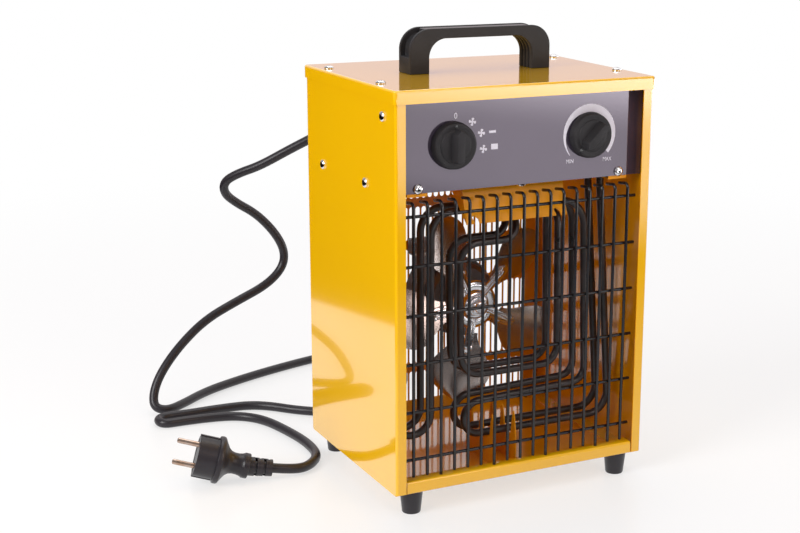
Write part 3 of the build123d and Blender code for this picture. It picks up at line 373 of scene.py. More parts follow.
def bent_bar(points, radii, radius, sides=16, step=0.16):
    """A round bar bent round an arc of its own radius at each inner point of a line of runs."""
    points = [Vector(p) for p in points]
    bm = bmesh.new()
    here, way = points[0], (points[1] - points[0]).normalized()
    turn = Matrix.Translation(here) @ way.to_track_quat("Z", "Y").to_matrix().to_4x4()
    made = bmesh.ops.create_circle(bm, cap_ends=True, radius=radius, segments=sides, matrix=turn)
    ring = list({e for v in made["verts"] for e in v.link_edges})
    for index in range(1, len(points)):
        bend, back = 0.0, 0.0
        if index < len(points) - 1:
            following = (points[index + 1] - points[index]).normalized()
            bend = way.angle(following)
            back = radii[index - 1] * math.tan(bend / 2)
        run = points[index] - way * back - here
        if run.length > 1e-4:
            geom = bmesh.ops.extrude_edge_only(bm, edges=ring)["geom"]
            fresh = verts_of(geom)
            bmesh.ops.translate(bm, vec=run, verts=fresh)
            ring = [e for e in edges_of(geom) if set(e.verts) <= set(fresh)]
            here = here + run
        if bend > 1e-4:
            axis = way.cross(following).normalized()
            centre = here + axis.cross(way) * radii[index - 1]
            ring = edges_of(bmesh.ops.spin(
                bm, geom=ring, cent=centre, axis=axis, angle=bend, use_merge=False,
                steps=max(2, math.ceil(bend / step)), use_duplicate=False)["geom_last"])
            here = centre + Matrix.Rotation(bend, 3, axis) @ (here - centre)
            way = following
    bmesh.ops.edgeloop_fill(bm, edges=ring)
    return tidy(bm)


def as_mesh(name, bm):
    mesh = bpy.data.meshes.new(name)
    bm.to_mesh(mesh)
    bm.free()
    return mesh


def gather(*parts):
    """Joins shapes, each given as (shape, matrix) or (shape, matrix, finish number), into one."""
    whole = bmesh.new()
    for part in parts:
        bm, matrix = part[0], part[1]
        bm.transform(matrix)
        for face in bm.faces:
            face.material_index = part[2] if len(part) > 2 else 0
        mesh = as_mesh("gathered", bm)
        whole.from_mesh(mesh)
        bpy.data.meshes.remove(mesh)
    return whole


def add_object(name, data):
    made = bpy.data.objects.new(name, data)
    bpy.context.scene.collection.objects.link(made)
    return made


def piece(name, bm, *finishes, body="housing", node=None, slot=None, smooth=32.0):
    """Puts a shape into the part's frame as a finished piece, on a body and for a CAD node."""
    bm.transform(TO_PART)
    mesh = as_mesh(name, bm)
    for each in finishes:
        mesh.materials.append(bpy.data.materials[each])
    mesh.shade_smooth()
    mesh.set_sharp_from_angle(angle=math.radians(smooth))
    for face in mesh.polygons:
        face.use_smooth = face.area < BROAD_FACE
    made = add_object(name, mesh)
    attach(made, body)
    if node:
        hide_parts(node)
    return made


def paint_shade_inside(bm, inner):
    """Gives the second finish, the darker inside paint that stands for painted shade, to the faces
    that a test picks.
    """
    bm.normal_update()
    for face in bm.faces:
        face.material_index = int(inner(face))


def softened(node, edge):
    """A merged copy of a CAD node in the drawing's millimetres, its sharp edges rounded."""
    bm = bmesh.new()
    bm.from_mesh(frame["nodes"][node].data)
    bm.transform(FROM_PART)
    merge(bm, 0.002)
    bmesh.ops.dissolve_limit(bm, angle_limit=math.radians(2.0), verts=bm.verts, edges=bm.edges)
    return round_edges(bm, sharp_edges(bm, 40.0), edge, 2)


def at(x, y, z):
    return Matrix.Translation((x, y, z))


def spun(degrees):
    return Matrix.Rotation(math.radians(degrees), 4, "Z")


def pointing(start, direction):
    """Puts a shape drawn up +Z at a point, along a direction."""
    turn = Vector(direction).to_track_quat("Z", "Y").to_matrix().to_4x4()
    return at(*start) @ turn


# ---- casing

CORNER_RADIUS, BEND_RADIUS, SHEET = 2.6, 1.3, 1.0


class AddLid(bpy.types.Operator):
    """Adds the pressed lid with its rounded edges"""
    bl_idname = "heater.add_lid"
    bl_label = "Lid"

    def execute(self, context):
        low, high = cad_box("top_lid")
        bm = brick(low, high)
        upright = [e for e in bm.edges if abs(e.verts[0].co.z - e.verts[1].co.z) > 1]
        round_edges(bm, upright, CORNER_RADIUS, 4)
        rim = [e for e in bm.edges if all(v.co.z > high.z - 0.01 for v in e.verts)]
        round_edges(bm, rim, mm(context.scene.heater_sizes.lid_edge), 4)
        under = [f for f in bm.faces if f.normal.z < -0.9]
        bmesh.ops.delete(bm, geom=under, context="FACES")
        bmesh.ops.solidify(bm, geom=list(bm.faces), thickness=SHEET)
        piece("lid", bm, "yellow_paint", node="top_lid")
        return {"FINISHED"}


class AddWalls(bpy.types.Operator):
    """Adds the two side walls with their bends rounded, and the floor tray between them"""
    bl_idname = "heater.add_walls"
    bl_label = "Side walls"

    def execute(self, context):
        for node, name, way in (("left_side_panel", "left_wall", -1),
                                ("right_side_panel", "right_wall", 1)):
            bm = softened(node, 0.0)
            low, high = cad_box(node)
            side = low.x if way < 0 else high.x
            bends = [e for e in sharp_edges(bm, 60.0) if e.calc_length() > 50
                     and all(abs(v.co.x - side) < 0.01 for v in e.verts)]
            outer = [e for e in bends if all(min(abs(v.co.y - low.y), abs(v.co.y - high.y)) < 0.01
                                             for v in e.verts)]
            round_edges(bm, outer, BEND_RADIUS, 4)
            # the inward faces take the darker inside finish: painted shade
            paint_shade_inside(bm, lambda face: face.normal.x * way < -0.5)
            piece(name, bm, "yellow_paint", "inner_paint", node=node)
        bm = softened("base_tray", 0.0)
        front = cad_box("base_tray")[0].y + 8.0      # behind its front lip
        # the tray's floor inside takes the darker inside finish: painted shade
        paint_shade_inside(bm, lambda face: face.normal.z > 0.5 and face.calc_center_median().y > front)
        piece("floor_tray", bm, "yellow_paint", "inner_paint", node="base_tray")
        return {"FINISHED"}


class AddBack(bpy.types.Operator):
    """Adds the back with its rows of round-ended air slots"""
    bl_idname = "heater.add_back"
    bl_label = "Back"

    def execute(self, context):
        pitch, row_pitch, columns, rows = 6.3, 40.0, 33, 6
        slot_width, slot_length, slot_corner, first_row = 4.7, 32.0, 2.2, 45.0
        low, high = cad_box("rear_panel")
        bm = flat([(0, 0), (pitch, 0), (pitch, row_pitch), (0, row_pitch)])
        bm.normal_update()
        rim = (pitch - slot_width) / 2
        bmesh.ops.inset_individual(bm, faces=list(bm.faces), thickness=rim, use_even_offset=True)
        inner = [v for v in bm.verts if rim / 2 < v.co.x < pitch - rim / 2]
        bmesh.ops.scale(bm, vec=(1, slot_length / (row_pitch - 2 * rim), 1), verts=inner,
                        space=at(0, -row_pitch / 2, 0))
        round_corners(bm, inner, slot_corner, 3)
        slot = max(bm.faces, key=lambda f: len(f.verts))
        bmesh.ops.delete(bm, geom=[slot], context="FACES_ONLY")
        for step, count in ((Vector((pitch, 0, 0)), columns), (Vector((0, row_pitch, 0)), rows)):
            unit = list(bm.verts) + list(bm.edges) + list(bm.faces)
            for number in range(1, count):
                fresh = verts_of(bmesh.ops.duplicate(bm, geom=unit)["geom"])
                bmesh.ops.translate(bm, vec=step * number, verts=fresh)
        merge(bm, 0.001)
        wide, foot = columns * pitch / 2, first_row - row_pitch / 2
        bmesh.ops.translate(bm, vec=(-wide, foot, 0), verts=bm.verts)
        for axis, was, now in ((0, -wide, low.x), (0, wide, high.x), (1, foot, low.z),
                               (1, foot + rows * row_pitch, high.z)):
            border = [e for e in bm.edges if e.is_boundary
                      and all(abs(v.co[axis] - was) < 0.01 for v in e.verts)]
            for vert in verts_of(bmesh.ops.extrude_edge_only(bm, edges=border)["geom"]):
                vert.co[axis] = now
        merge(bm, 0.001)
        for face in bm.faces:
            if face.normal.z < 0:
                face.normal_flip()
        bmesh.ops.solidify(bm, geom=list(bm.faces), thickness=SHEET)
        lift = high.y + min(v.co.z for v in bm.verts)
        bm.transform(at(0, lift, 0) @ FACING)
        # the inward faces take the darker inside finish: painted shade
        paint_shade_inside(bm, lambda face: face.normal.y < -0.5)
        piece("slotted_back", bm, "yellow_paint", "inner_paint", node="rear_panel")
        return {"FINISHED"}


# ---- controls

DIAL_X, DIAL_Z = 64.3, 309.3
KNOB_SCALE, MIN_TURN = (0.94, 0.94, 0.72, 1), -225.0
PRINT = 0.05          # thickness of a printed mark


def lettering(text, size, x, z, bold):
    """Flat raised lettering centred on a point of the control panel, its strokes thickened."""
    curve = bpy.data.curves.new("lettering", "FONT")
    curve.body, curve.size, curve.extrude, curve.offset = text, size, 0.03, bold
    curve.align_x, curve.align_y = "CENTER", "CENTER"
    holder = add_object("lettering", curve)
    bpy.context.view_layer.update()
    mesh = bpy.data.meshes.new_from_object(holder.evaluated_get(
        bpy.context.evaluated_depsgraph_get()))
    bm = bmesh.new()
    bm.from_mesh(mesh)
    bpy.data.objects.remove(holder)
    bpy.data.curves.remove(curve)
    bpy.data.meshes.remove(mesh)
    return bm, at(x, z, 0) @ Matrix.Diagonal((0.85, 1, 1, 1))


def fan_sign(size):
    """A small four-bladed fan symbol."""
    parts = []
    for quarter in range(4):
        blade = flat([(-0.19, 0.19), (0.19, 0.19), (0.19, 0.38), (0.52, 0.56), (0.46, 0.94),
                      (-0.10, 1.0), (-0.19, 0.84)], [0, 0, 0.06, 0.14, 0.20, 0.12, 0.06], 3)
        parts.append((thick(blade, PRINT / size), spun(90.0 * quarter)))
    parts.append((thick(oblong(0.19, 0.19), PRINT / size), Matrix()))
    bm = gather(*parts)
    bm.transform(Matrix.Scale(size, 4))
    return bm


def widening_arc(start, sweep, radius, narrow, wide):
    """A flat arc, clockwise from an angle in degrees, that grows from narrow to wide."""
    start, sweep = math.radians(start), math.radians(sweep)
    arc = bmesh.new()
    inner, outer = arc.verts.new((radius - 1, 0, 0)), arc.verts.new((radius, 0, 0))
    edge = arc.edges.new((inner, outer))
    bmesh.ops.rotate(arc, cent=(0, 0, 0), matrix=Matrix.Rotation(start, 3, "Z"), verts=arc.verts)
    bmesh.ops.spin(arc, geom=[edge], cent=(0, 0, 0), axis=(0, 0, 1), angle=-sweep,
                   steps=48, use_merge=False, use_duplicate=False)
    for vert in arc.verts:
        if vert.co.length < radius - 0.5:
            share = (start - math.atan2(vert.co.y, vert.co.x) + 0.001) % math.tau / sweep
            width = narrow + (wide - narrow) * min(1.0, share * 2.2)
            vert.co *= (radius - width) / vert.co.length
    return arc


class AddPanelMarks(bpy.types.Operator):
    """Adds the marks printed round the two knobs"""
    bl_idname = "heater.add_panel_marks"
    bl_label = "Panel marks"

    def execute(self, context):
        front = cad_box("control_panel")[0].y
        marks = [(thick(widening_arc(222, 264, 25.6, 0.4, 7.0), PRINT), at(65.2, 309.7, 0)),
                 (thick(oblong(3.1, 1.0), PRINT), at(-27.7, 317.9, 0)),
                 (thick(oblong(3.1, 2.3), PRINT), at(-25.7, 305.5, 0)),
                 lettering("0", 6.9, -61.3, 332.6, 0.13), lettering("MIN", 4.8, 46.5, 287.6, 0.03),
                 lettering("MAX", 4.8, 83.3, 287.2, 0.03)]
        for x, z in ((-46.2, 327.1), (-37.9, 317.5), (-35.9, 304.2)):
            marks.append((fan_sign(3.35), at(x, z, 0)))
        bm = gather(*marks)
        bm.transform(at(0, front, 0) @ FACING)
        piece("panel_marks", bm, "panel_print", slot="white_plastic")
        return {"FINISHED"}


class AddKnobs(bpy.types.Operator):
    """Adds the two pointer knobs"""
    bl_idname = "heater.add_knobs"
    bl_label = "Knobs"

    def execute(self, context):
        for node, body, x, turn in (("switch_knob", "switch_dial", -DIAL_X, 0.0),
                                    ("thermostat_knob", "thermostat_dial", DIAL_X, MIN_TURN)):
            skirt = turned([
                (0, 1.6), (17.6, 1.6), (17.6, 0), (20.4, 0), (20.8, 0.5), (20.8, 1.8), (20.0, 7.6),
                (19.5, 8.6), (18.6, 9.1), (17.6, 9.1), (15.1, 8.3), (14.7, 8.4), (14.5, 9.2),
                (14.0, 9.8), (13.2, 10.0), (0, 10.0)], 64)
            outline = [(-5.2, -12.4), (-3.0, -14.4), (3.0, -14.4), (5.2, -12.4), (5.2, 10.4),
                       (0, 15.6), (-5.2, 10.4)]
            grip = thick(flat(outline, [0.8, 0.8, 0.8, 0.8, 1.0, 0.8, 1.0], 3), 13.0, 0.7, 3, 0.96)
            for vert in grip.verts:      # its sides lean in towards the top
                vert.co.x *= 1 - 0.025 * vert.co.z
            pointer = thick(flat([(-1.9, 0), (1.9, 0), (0, 3.4)]), 0.5, 0.2)
            bm = gather((skirt, Matrix()), (grip, at(0, 0, 9.0)), (pointer, at(0, 16.2, 8.9), 1))
            bm.transform(at(x, cad_box(node)[1].y, DIAL_Z) @ FACING @ spun(turn)
                         @ Matrix.Diagonal(KNOB_SCALE))
            piece(node + "_moulding", bm, "black_plastic", "wire_black", body=body, node=node)
        return {"FINISHED"}


# ---- grille and elements

UPRIGHT_PITCH, WIRE_Y, WIRE_TOP, WIRE_SIDES = 12.7, -87.4, 265.6, 12
CROSS_PITCH, CROSS_WIRES, CROSS_REACH, FIRST_CROSS = 41.4, 6, 110.5, 47.3


def blunt(wire):
    """Rounds the two ends of a wire."""
    ends = [f for f in wire.faces if len(f.verts) == WIRE_SIDES]
    return round_edges(wire, {e for f in ends for e in f.edges}, 0.45, 2), Matrix()


class AddGrille(bpy.types.Operator):
    """Adds the hooked upright wires and the wires welded across behind them"""
    bl_idname = "heater.add_grille"
    bl_label = "Grille"

    def execute(self, context):
        sizes = context.scene.heater_sizes
        radius, count, parts = mm(sizes.wire) / 2, sizes.wires, []
        for index in range(count):
            x = (index - (count - 1) / 2) * UPRIGHT_PITCH
            foot = 26.5 if index % 4 == 2 else 32.6      # every fourth wire is a peg in the ledge
            line = [(x, WIRE_Y, foot), (x, WIRE_Y, WIRE_TOP), (x, WIRE_Y + 14.0, WIRE_TOP - 2.0)]
            parts.append(blunt(bent_bar(line, [mm(sizes.hook)], radius, sides=WIRE_SIDES)))
        for row in range(CROSS_WIRES):
            z = FIRST_CROSS + row * CROSS_PITCH
            line = [(x, WIRE_Y + 2.0, z) for x in (-CROSS_REACH, CROSS_REACH)]
            parts.append(blunt(bent_bar(line, [], radius, sides=WIRE_SIDES)))
        piece("wire_grille", gather(*parts), "wire_black", node="front_grille")
        return {"FINISHED"}


def folded(there, again, bends, radius):
    """A bar bent along one line of runs and, past a hairpin, back along another."""
    hairpin = 9.9
    return bent_bar(there + again[::-1], bends + [hairpin, hairpin] + bends[::-1], radius, sides=20)


class AddElements(bpy.types.Operator):
    """Adds the two folded tubular heating elements"""
    bl_idname = "heater.add_elements"
    bl_label = "Heating elements"

    def execute(self, context):
        radius = mm(context.scene.heater_sizes.tube) / 2
        front, back = -55.0, -35.0
        line = [(93.6, 284), (93.6, 261), (108.6, 48.6), (-38.2, 48.6), (-38.2, 78), (82.6, 82),
                (77.6, 248.6), (-70.4, 248.6), (-70.4, 56.6), (-105, 56.6), (-105, 150)]
        outer = folded(*([(x, y, z) for x, z in line] for y in (front, back)),
                       [30, 19, 14.5, 14.5, 13, 24, 20, 17.1, 17.1], radius)
        inner = folded(*([(13, tail, 284), (13, tail, 243.6), (13, y, 219.2), (-43.7, y, 219.2),
                          (-41.2, y, 102.6), (54, y, 102.6), (52, y, 238)]
                         for y, tail in ((front, -45.0), (back, -27.3))),
                       [20, 14, 18, 19, 16], radius)
        piece("outer_tube", outer, "element_black", node="outer_element")
        piece("inner_tube", inner, "element_black", node="inner_element")
        return {"FINISHED"}


class AddBrackets(bpy.types.Operator):
    """Adds the overheat cut-out in front of the element bracket"""
    bl_idname = "heater.add_brackets"
    bl_label = "Cut-out"

    def execute(self, context):
        can = turned([(0, 0), (6.4, 0), (6.4, 3.4), (6.1, 4.4), (5.3, 5.0), (3.4, 5.0), (3.1, 4.6),
                      (0, 4.6)], 40)
        low, high = cad_box("thermal_cutout")
        lean = Vector((0, -28.0, 9.0)).normalized()
        middle = (low + high) / 2 - lean * 2.5 + Vector((0, 0.5, 1.7))
        bm = gather((can, pointing(middle, lean)))
        piece("cutout_can", bm, "bright_steel", node="thermal_cutout")
        return {"FINISHED"}


# ---- fan

HUB = at(0, 3.0, 148.0) @ FACING
BLADES, FIRST_BLADE, BLADE_PITCH = 5, 44.0, 24.0


def blade_shape():
    """One cambered paddle along +X, before it is pitched."""
    bm = bmesh.new()
    bmesh.ops.create_grid(bm, x_segments=22, y_segments=14, size=1.0)
    for vert in bm.verts:
        u, v = (vert.co.x + 1) / 2, vert.co.y
        reach = 26.0 + 63.0 * u
        if u < 0.62:
            share = u / 0.62
            half = 8.5 + 19.0 * share * share * (3 - 2 * share)
        else:
            half = 27.5 * math.sqrt(max(0.0, 1 - ((u - 0.62) / 0.385) ** 2))
        vert.co = (reach - 5.0 * v * v * u, v * half - 3.0 * u, 3.2 * u * (0.4 - v * v))
    bmesh.ops.recalc_face_normals(bm, faces=bm.faces)
    bmesh.ops.solidify(bm, geom=list(bm.faces), thickness=1.2)
    return bm


class AddFan(bpy.types.Operator):
    """Adds the fan blades, the bright hub with its arms, and the cap nut"""
    bl_idname = "heater.add_fan"
    bl_label = "Fan"

    def hub(self, turns):
        """The pressed flange, and on each turn an arm with its rib and two rivets."""
        flange = turned([
            (4.2, -10), (9.6, -10), (9.6, 0.6), (21.0, 0.6), (21.9, 1.0), (22.1, 1.8), (21.4, 2.9),
            (19.6, 3.9), (17.4, 4.2), (15.4, 3.9), (14.0, 3.7), (13.2, 4.4), (12.6, 6.0),
            (11.9, 7.3), (10.6, 8.0), (4.2, 8.0), (4.2, -10)], 48)
        parts = [(flange, Matrix())]
        for turn in turns:
            arm = thick(flat([(10, -5.5), (42, -5.5), (46, -3), (46, 3), (42, 5.5), (10, 5.5)],
                             [0, 2.5, 1.5, 1.5, 2.5, 0], 3), 2.0, 0.9, 3)
            rib = thick(flat([(10, -2.7), (39.5, -2.7), (42.2, 0), (39.5, 2.7), (10, 2.7)],
                             [0, 1.2, 1.2, 1.2, 0], 3), 2.1, 1.3, 4)
            parts += [(arm, turn @ at(0, 0, 0.65)), (rib, turn @ at(0, 0, 2.4))]
            for x, y in ((31.0, -3.8), (40.0, 3.8)):
                rivet = turned([(0, 0), (2.3, 0), (2.0, 0.9), (1.2, 1.4), (0, 1.5)], 16)
                parts.append((rivet, turn @ at(x, y, 2.5)))
        return gather(*parts)

    def nut(self):
        hexagon = thick(disc(7.0, 6), 5.4, 0.5)
        washer = turned([(4.2, 0), (9.0, 0), (9.0, 1.1), (8.7, 1.4), (4.2, 1.4), (4.2, 0)], 32)
        dome = turned([(0, 5.0), (5.6, 5.0), (5.5, 6.4), (4.9, 7.6), (3.4, 8.3), (0, 8.5)], 28)
        return gather((hexagon, at(0, 0, 0.6)), (washer, Matrix()), (dome, Matrix()))

    def execute(self, context):
        pitch = Matrix.Rotation(math.radians(BLADE_PITCH), 4, "X")
        turns = [spun(FIRST_BLADE + 360.0 / BLADES * number) @ pitch for number in range(BLADES)]
        blades = gather(*((blade_shape(), turn) for turn in turns))
        hub, nut = self.hub(turns), self.nut()
        blades.transform(HUB)
        hub.transform(HUB)
        nut.transform(HUB @ at(0, 0, 8.0))
        piece("fan_paddles", blades, "blade_metal", body="fan", node="fan_blades", smooth=50)
        piece("fan_hub", hub, "bright_steel", body="fan", node="fan_spider")
        piece("hub_nut", nut, "bright_steel", body="fan", node="fan_nut")
        return {"FINISHED"}


# ---- handle, feet, screws

class AddHandle(bpy.types.Operator):
    """Adds the moulded handle with its grip strip"""
    bl_idname = "heater.add_handle"
    bl_label = "Handle"

    def execute(self, context):
        edge = mm(context.scene.heater_sizes.moulded_edge)
        piece("handle_moulding", softened("handle", edge), "black_plastic", node="handle")
        piece("grip_strip", softened("handle_grip", 0.3), "grip_plastic", node="handle_grip")
        return {"FINISHED"}


FEET = [(x, y) for x in (-101.0, 101.0) for y in (-81.4, 81.4)]


class AddFeet(bpy.types.Operator):
    """Adds the four tapered rubber feet"""
    bl_idname = "heater.add_feet"
    bl_label = "Feet"

    def execute(self, context):
        profile = [(5.2, 8.0), (5.2, 0.2), (6.8, 0), (7.6, 0.3), (8.0, 1.2), (9.7, 17.6),
                   (10.0, 18.6), (10.0, 20.0), (2.2, 20.0), (2.2, 8.0), (5.2, 8.0)]
        parts = [(turned(profile, 40), at(x, y, 0)) for x, y in FEET]
        piece("tapered_feet", gather(*parts), "black_rubber", node="rubber_feet")
        return {"FINISHED"}


def screw_shape(head=2.4):
    """A pan-head screw with a cross recess, its head up +Z and its seat at zero."""
    shank, arm, waist, cross = 7.0, 1.75, 0.42, []
    bm = turned([(1.9, -shank), (1.9, 0), (4.1, 0), (4.2, 0.3), (4.1, 1.1), (3.5, head - 0.6),
                 (2.5, head - 0.1), (2.1, head)], 24)
    rim = [e for e in bm.edges if all(abs(v.co.z - head) < 0.001 for v in e.verts)]
    for quarter in range(4):
        for x, y in ((waist, waist), (arm, waist), (arm, -waist)):
            turn = Matrix.Rotation(-quarter * math.pi / 2, 3, "Z")
            cross.append(bm.verts.new(turn @ Vector((x, y, head))))
    loop = [bm.edges.new((a, b)) for a, b in zip(cross, cross[1:] + cross[:1])]
    bmesh.ops.bridge_loops(bm, edges=rim + loop)
    pit = bmesh.ops.extrude_edge_only(bm, edges=loop)["geom"]
    floor = verts_of(pit)
    bmesh.ops.translate(bm, vec=(0, 0, -1.2), verts=floor)
    bmesh.ops.scale(bm, vec=(0.5, 0.5, 1), verts=floor)
    bmesh.ops.edgeloop_fill(bm, edges=[e for e in edges_of(pit) if set(e.verts) <= set(floor)])
    foot = [e for e in bm.edges if all(abs(v.co.z + shank) < 0.001 for v in e.verts)]
    bmesh.ops.edgeloop_fill(bm, edges=foot)
    return tidy(bm)


class AddScrews(bpy.types.Operator):
    """Adds the pan-head screws of the casing, panel, back and feet"""
    bl_idname = "heater.add_screws"
    bl_label = "Screws"

    def execute(self, context):
        side = [((way * 120.0, y, z), (way, 0, 0)) for way in (-1, 1)
                for y, z in ((-70.0, 334.4), (56.0, 275.0), (-35.0, 275.0))]
        lid = [((x, y, 357.4), (0, 0, 1)) for x in (-112.0, 112.0) for y in (-48.0, 60.0)]
        panel = [((x, -81.5, 275.6), (0, -1, 0)) for x in (-95.0, 95.0)]
        rear = [((x, 93.4, z), (0, 1, 0)) for x in (-113.5, 113.5) for z in (48.0, 166.0, 327.4)]
        mount = [((x, 92.3, z), (0, 1, 0)) for x in (-16.0, 16.0) for z in (105.0, 185.0)]
        base = [((x, y, 20.0), (0, 0, -1)) for x in (-108.0, 108.0) for y in (-58.0, 40.0)]
        feet = [((x, y, 8.0), (0, 0, -1)) for x, y in FEET]
        for name, node, places in (("side_wall_screws", "side_screws", side),
                                   ("lid_top_screws", "lid_screws", lid),
                                   ("panel_front_screws", "panel_screws", panel),
                                   ("tray_screws", "base_screws", base),
                                   ("feet_screws", "foot_screws", feet)):
            made = [(screw_shape(), pointing(*place) @ spun(17.0 + 37.0 * number))
                    for number, place in enumerate(places)]
            piece(name, gather(*made), "bright_steel", node=node)
        made = [(screw_shape(2.0 if place in mount else 2.4),
                 pointing(*place) @ Matrix.Rotation(0.6 * number, 4, "Z"))
                for number, place in enumerate(rear + mount)]
        piece("back_screws", gather(*made), "bright_steel", node="rear_screws")
        return {"FINISHED"}


# ---- lead and plug

ROUTE = [
    (-58, 118.3, 304), (-58, 137, 304), (-54, 164, 296), (-63, 192, 280), (-89, 218, 260.5),
    (-113.5, 236, 243), (-131, 252, 234), (-141.5, 264, 224.5), (-139, 272, 211),
    (-124.5, 277, 199), (-103, 282, 185.5), (-83, 285, 164.5), (-71.5, 286, 143.5),
    (-73.5, 286, 125.5), (-92.5, 284, 109), (-127, 281, 96), (-161.5, 277, 82), (-191, 270, 60.5),
    (-213, 262, 38.5), (-223, 257, 20.5), (-225.5, 248.5, 7.5), (-213.5, 242.5, 4.5),
    (-192, 257, 4.5), (-170, 275.5, 4.5), (-144.5, 291.5, 4.5), (-91.5, 315, 4.5),
    (-29, 335.5, 4.5), (22, 346, 4.5), (57, 300, 4.5), (42, 230, 4.5), (-3, 178, 4.5),
    (-56, 160, 4.5), (-93.5, 180, 4.5), (-127.5, 221.5, 4.5), (-165.5, 225.5, 4.5),
    (-198.5, 224.5, 4.5), (-229, 227, 4.5), (-231, 206, 4.5), (-208.5, 206, 4.5), (-181, 204, 4.5),
    (-156, 197, 4.5), (-138, 176, 4.5), (-128.5, 135.5, 4.5), (-123.4, 97, 4.5),
    (-126.7, 62.5, 4.5), (-145, 40.3, 5), (-162.6, 35.3, 6.9), (-179.8, 39.9, 9.7)]

PLUG_OUT = Vector((-0.914, 0.292, 0.278)).normalized()
LEAD_END = Vector(ROUTE[-1])
SLEEVE_WAY = (LEAD_END - Vector(ROUTE[-2])).normalized()
PLUG_FACE = LEAD_END + SLEEVE_WAY * 20.8 + PLUG_OUT * 46.8


def in_plug():
    """From a drawing on the plug's face, +Z out of it, to where the plug lies."""
    across = Vector((0, 0, 1)).cross(PLUG_OUT).cross(PLUG_OUT).normalized()
    up = PLUG_OUT.cross(across)
    turn = Matrix((across, up, PLUG_OUT)).transposed().to_4x4()
    return at(*PLUG_FACE) @ turn @ spun(12.0)


class AddLead(bpy.types.Operator):
    """Adds the gland, the lead and the plug"""
    bl_idname = "heater.add_lead"
    bl_label = "Lead and plug"

    def gland(self):
        """The ringed sleeve that the lead leaves the back through, and its nut inside."""
        profile = [(4.6, -1.0), (11.2, -1.0), (11.5, 0.2), (11.5, 1.9), (11.0, 2.6), (8.6, 3.4),
                   (8.0, 4.6)]
        for ring in range(5):
            z, radius = 5.4 + ring * 4.1, 7.8 - ring * 0.45
            profile += [(radius, z), (radius, z + 2.3), (radius - 0.9, z + 2.7),
                        (radius - 0.9, z + 3.9)]
        profile += [(5.7, 25.4), (5.3, 26.0), (4.6, 26.0), (4.6, -1.0)]
        x, back, z = ROUTE[0][0], cad_box("cable_gland")[1].y, float(ROUTE[0][2])
        parts = [(turned(profile, 40), at(x, back - 26.0, z) @ FACING.inverted()),
                 (thick(disc(11.5, 6), 4.0, 0.5), at(x, back - 27.1, z) @ FACING)]
        piece("gland_sleeve", gather(*parts), "black_plastic", node="cable_gland")

    def plug(self):
        """The moulded head and waist, and the sleeve with staggered half ribs between its rings."""
        place = in_plug()
        body = turned([
            (0, -46.3), (10.7, -46.8), (11.2, -46.2), (11.2, -42.0), (10.6, -41.2), (9.9, -39.5),
            (9.4, -36.5), (9.4, -33.0), (10.2, -30.0), (12.2, -27.4), (15.5, -25.2), (19.0, -23.2),
            (20.5, -22.2), (21.0, -21.0), (21.0, -18.8), (20.6, -17.8), (19.8, -17.4), (0, -17.4)],
            64)
        face = turned([(0, -17.5), (18.2, -17.5), (18.2, -0.5), (17.7, 0), (15.6, 0), (15.3, -0.5),
                       (0, -0.5)], 64)
        parts = [(body, place), (face, place)]
        for x in (-17.5, 17.5):
            parts.append((brick((x - 1.4, -2.7, -17.0), (x + 1.4, 2.7, 0.15), 0.3), place))
        sleeve = pointing(PLUG_FACE - PLUG_OUT * 46.3, SLEEVE_WAY * -1)
        parts.append((turned([(0, 0), (5.9, 0), (5.9, 20.8), (0, 20.8)], 24), sleeve))
        rings = ((0, 5.4, 8.4), (7.5, 9.3, 8.15), (11.4, 13.2, 7.9), (15.3, 17.1, 7.7),
                 (19.2, 21.2, 7.5))
        for z0, z1, r in rings:
            parts.append((turned([(5.0, z0), (r, z0), (r, z1), (5.0, z1), (5.0, z0)], 40), sleeve))
        for number, (_, z, _) in enumerate(rings[:-1]):
            r = 8.2 - 0.2 * number
            rib = turned([(5.0, z - 0.1), (r, z - 0.1), (r, z + 2.3), (5.0, z + 2.3),
                          (5.0, z - 0.1)], 40)
            bmesh.ops.bisect_plane(rib, geom=list(rib.verts) + list(rib.edges) + list(rib.faces),
                                   plane_co=(0, 0, 0), plane_no=(1, 0, 0),
                                   clear_outer=number % 2 == 1, clear_inner=number % 2 == 0)
            parts.append((rib, sleeve))
        return piece("plug_moulding", gather(*parts), "black_rubber", node="plug_body")

    def pins(self):
        profile = [(0, -8), (2.4, -8), (2.4, 17.6), (2.1, 18.4), (1.4, 18.9), (0, 19.0)]
        made = [(turned(profile, 28), in_plug() @ at(x, 0, 0)) for x in (-9.5, 9.5)]
        # the pins' finish carries a painted copper-brown reflection
        return piece("plug_prongs", gather(*made), "copper_glow", node="plug_pins",
                     slot="bright_steel")

    def execute(self, context):
        self.gland()
        curve = bpy.data.curves.new("mains_lead", "CURVE")
        curve.dimensions = "3D"
        spline = curve.splines.new("NURBS")
        spline.points.add(len(ROUTE) - 1)
        start = cad_box("cable_gland")[1].y
        route = [(-58, start, 304)] + ROUTE[1:]
        for point, place in zip(spline.points, route):
            point.co = (*(TO_PART @ Vector(place)), 1.0)
        spline.order_u = 3
        spline.use_endpoint_u = True
        spline.resolution_u = 8
        curve.bevel_depth = context.scene.heater_sizes.lead / 2
        curve.bevel_resolution = 6
        curve.use_fill_caps = True
        curve.materials.append(bpy.data.materials["black_rubber"])
        lead = add_object("mains_lead", curve)
        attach(lead, "housing")
        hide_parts("power_cord")
        plug, prongs = self.plug(), self.pins()
        return {"FINISHED"}


# ---- stage, panel

FLOOR_RADIUS = 7.0
SENSOR, FRAME_WIDTH = 36.0, 800      # millimetres, and pixels


def calc(tree, operation, one, two):
    """What an operation makes of two sockets, or of a socket and a number."""
    node, = add_nodes(tree, "Math")
    node.operation = operation
    for socket, given in zip(node.inputs, (one, two)):
        if isinstance(given, float):
            socket.default_value = given
        else:
            tree.links.new(given, socket)
    return node.outputs[0]


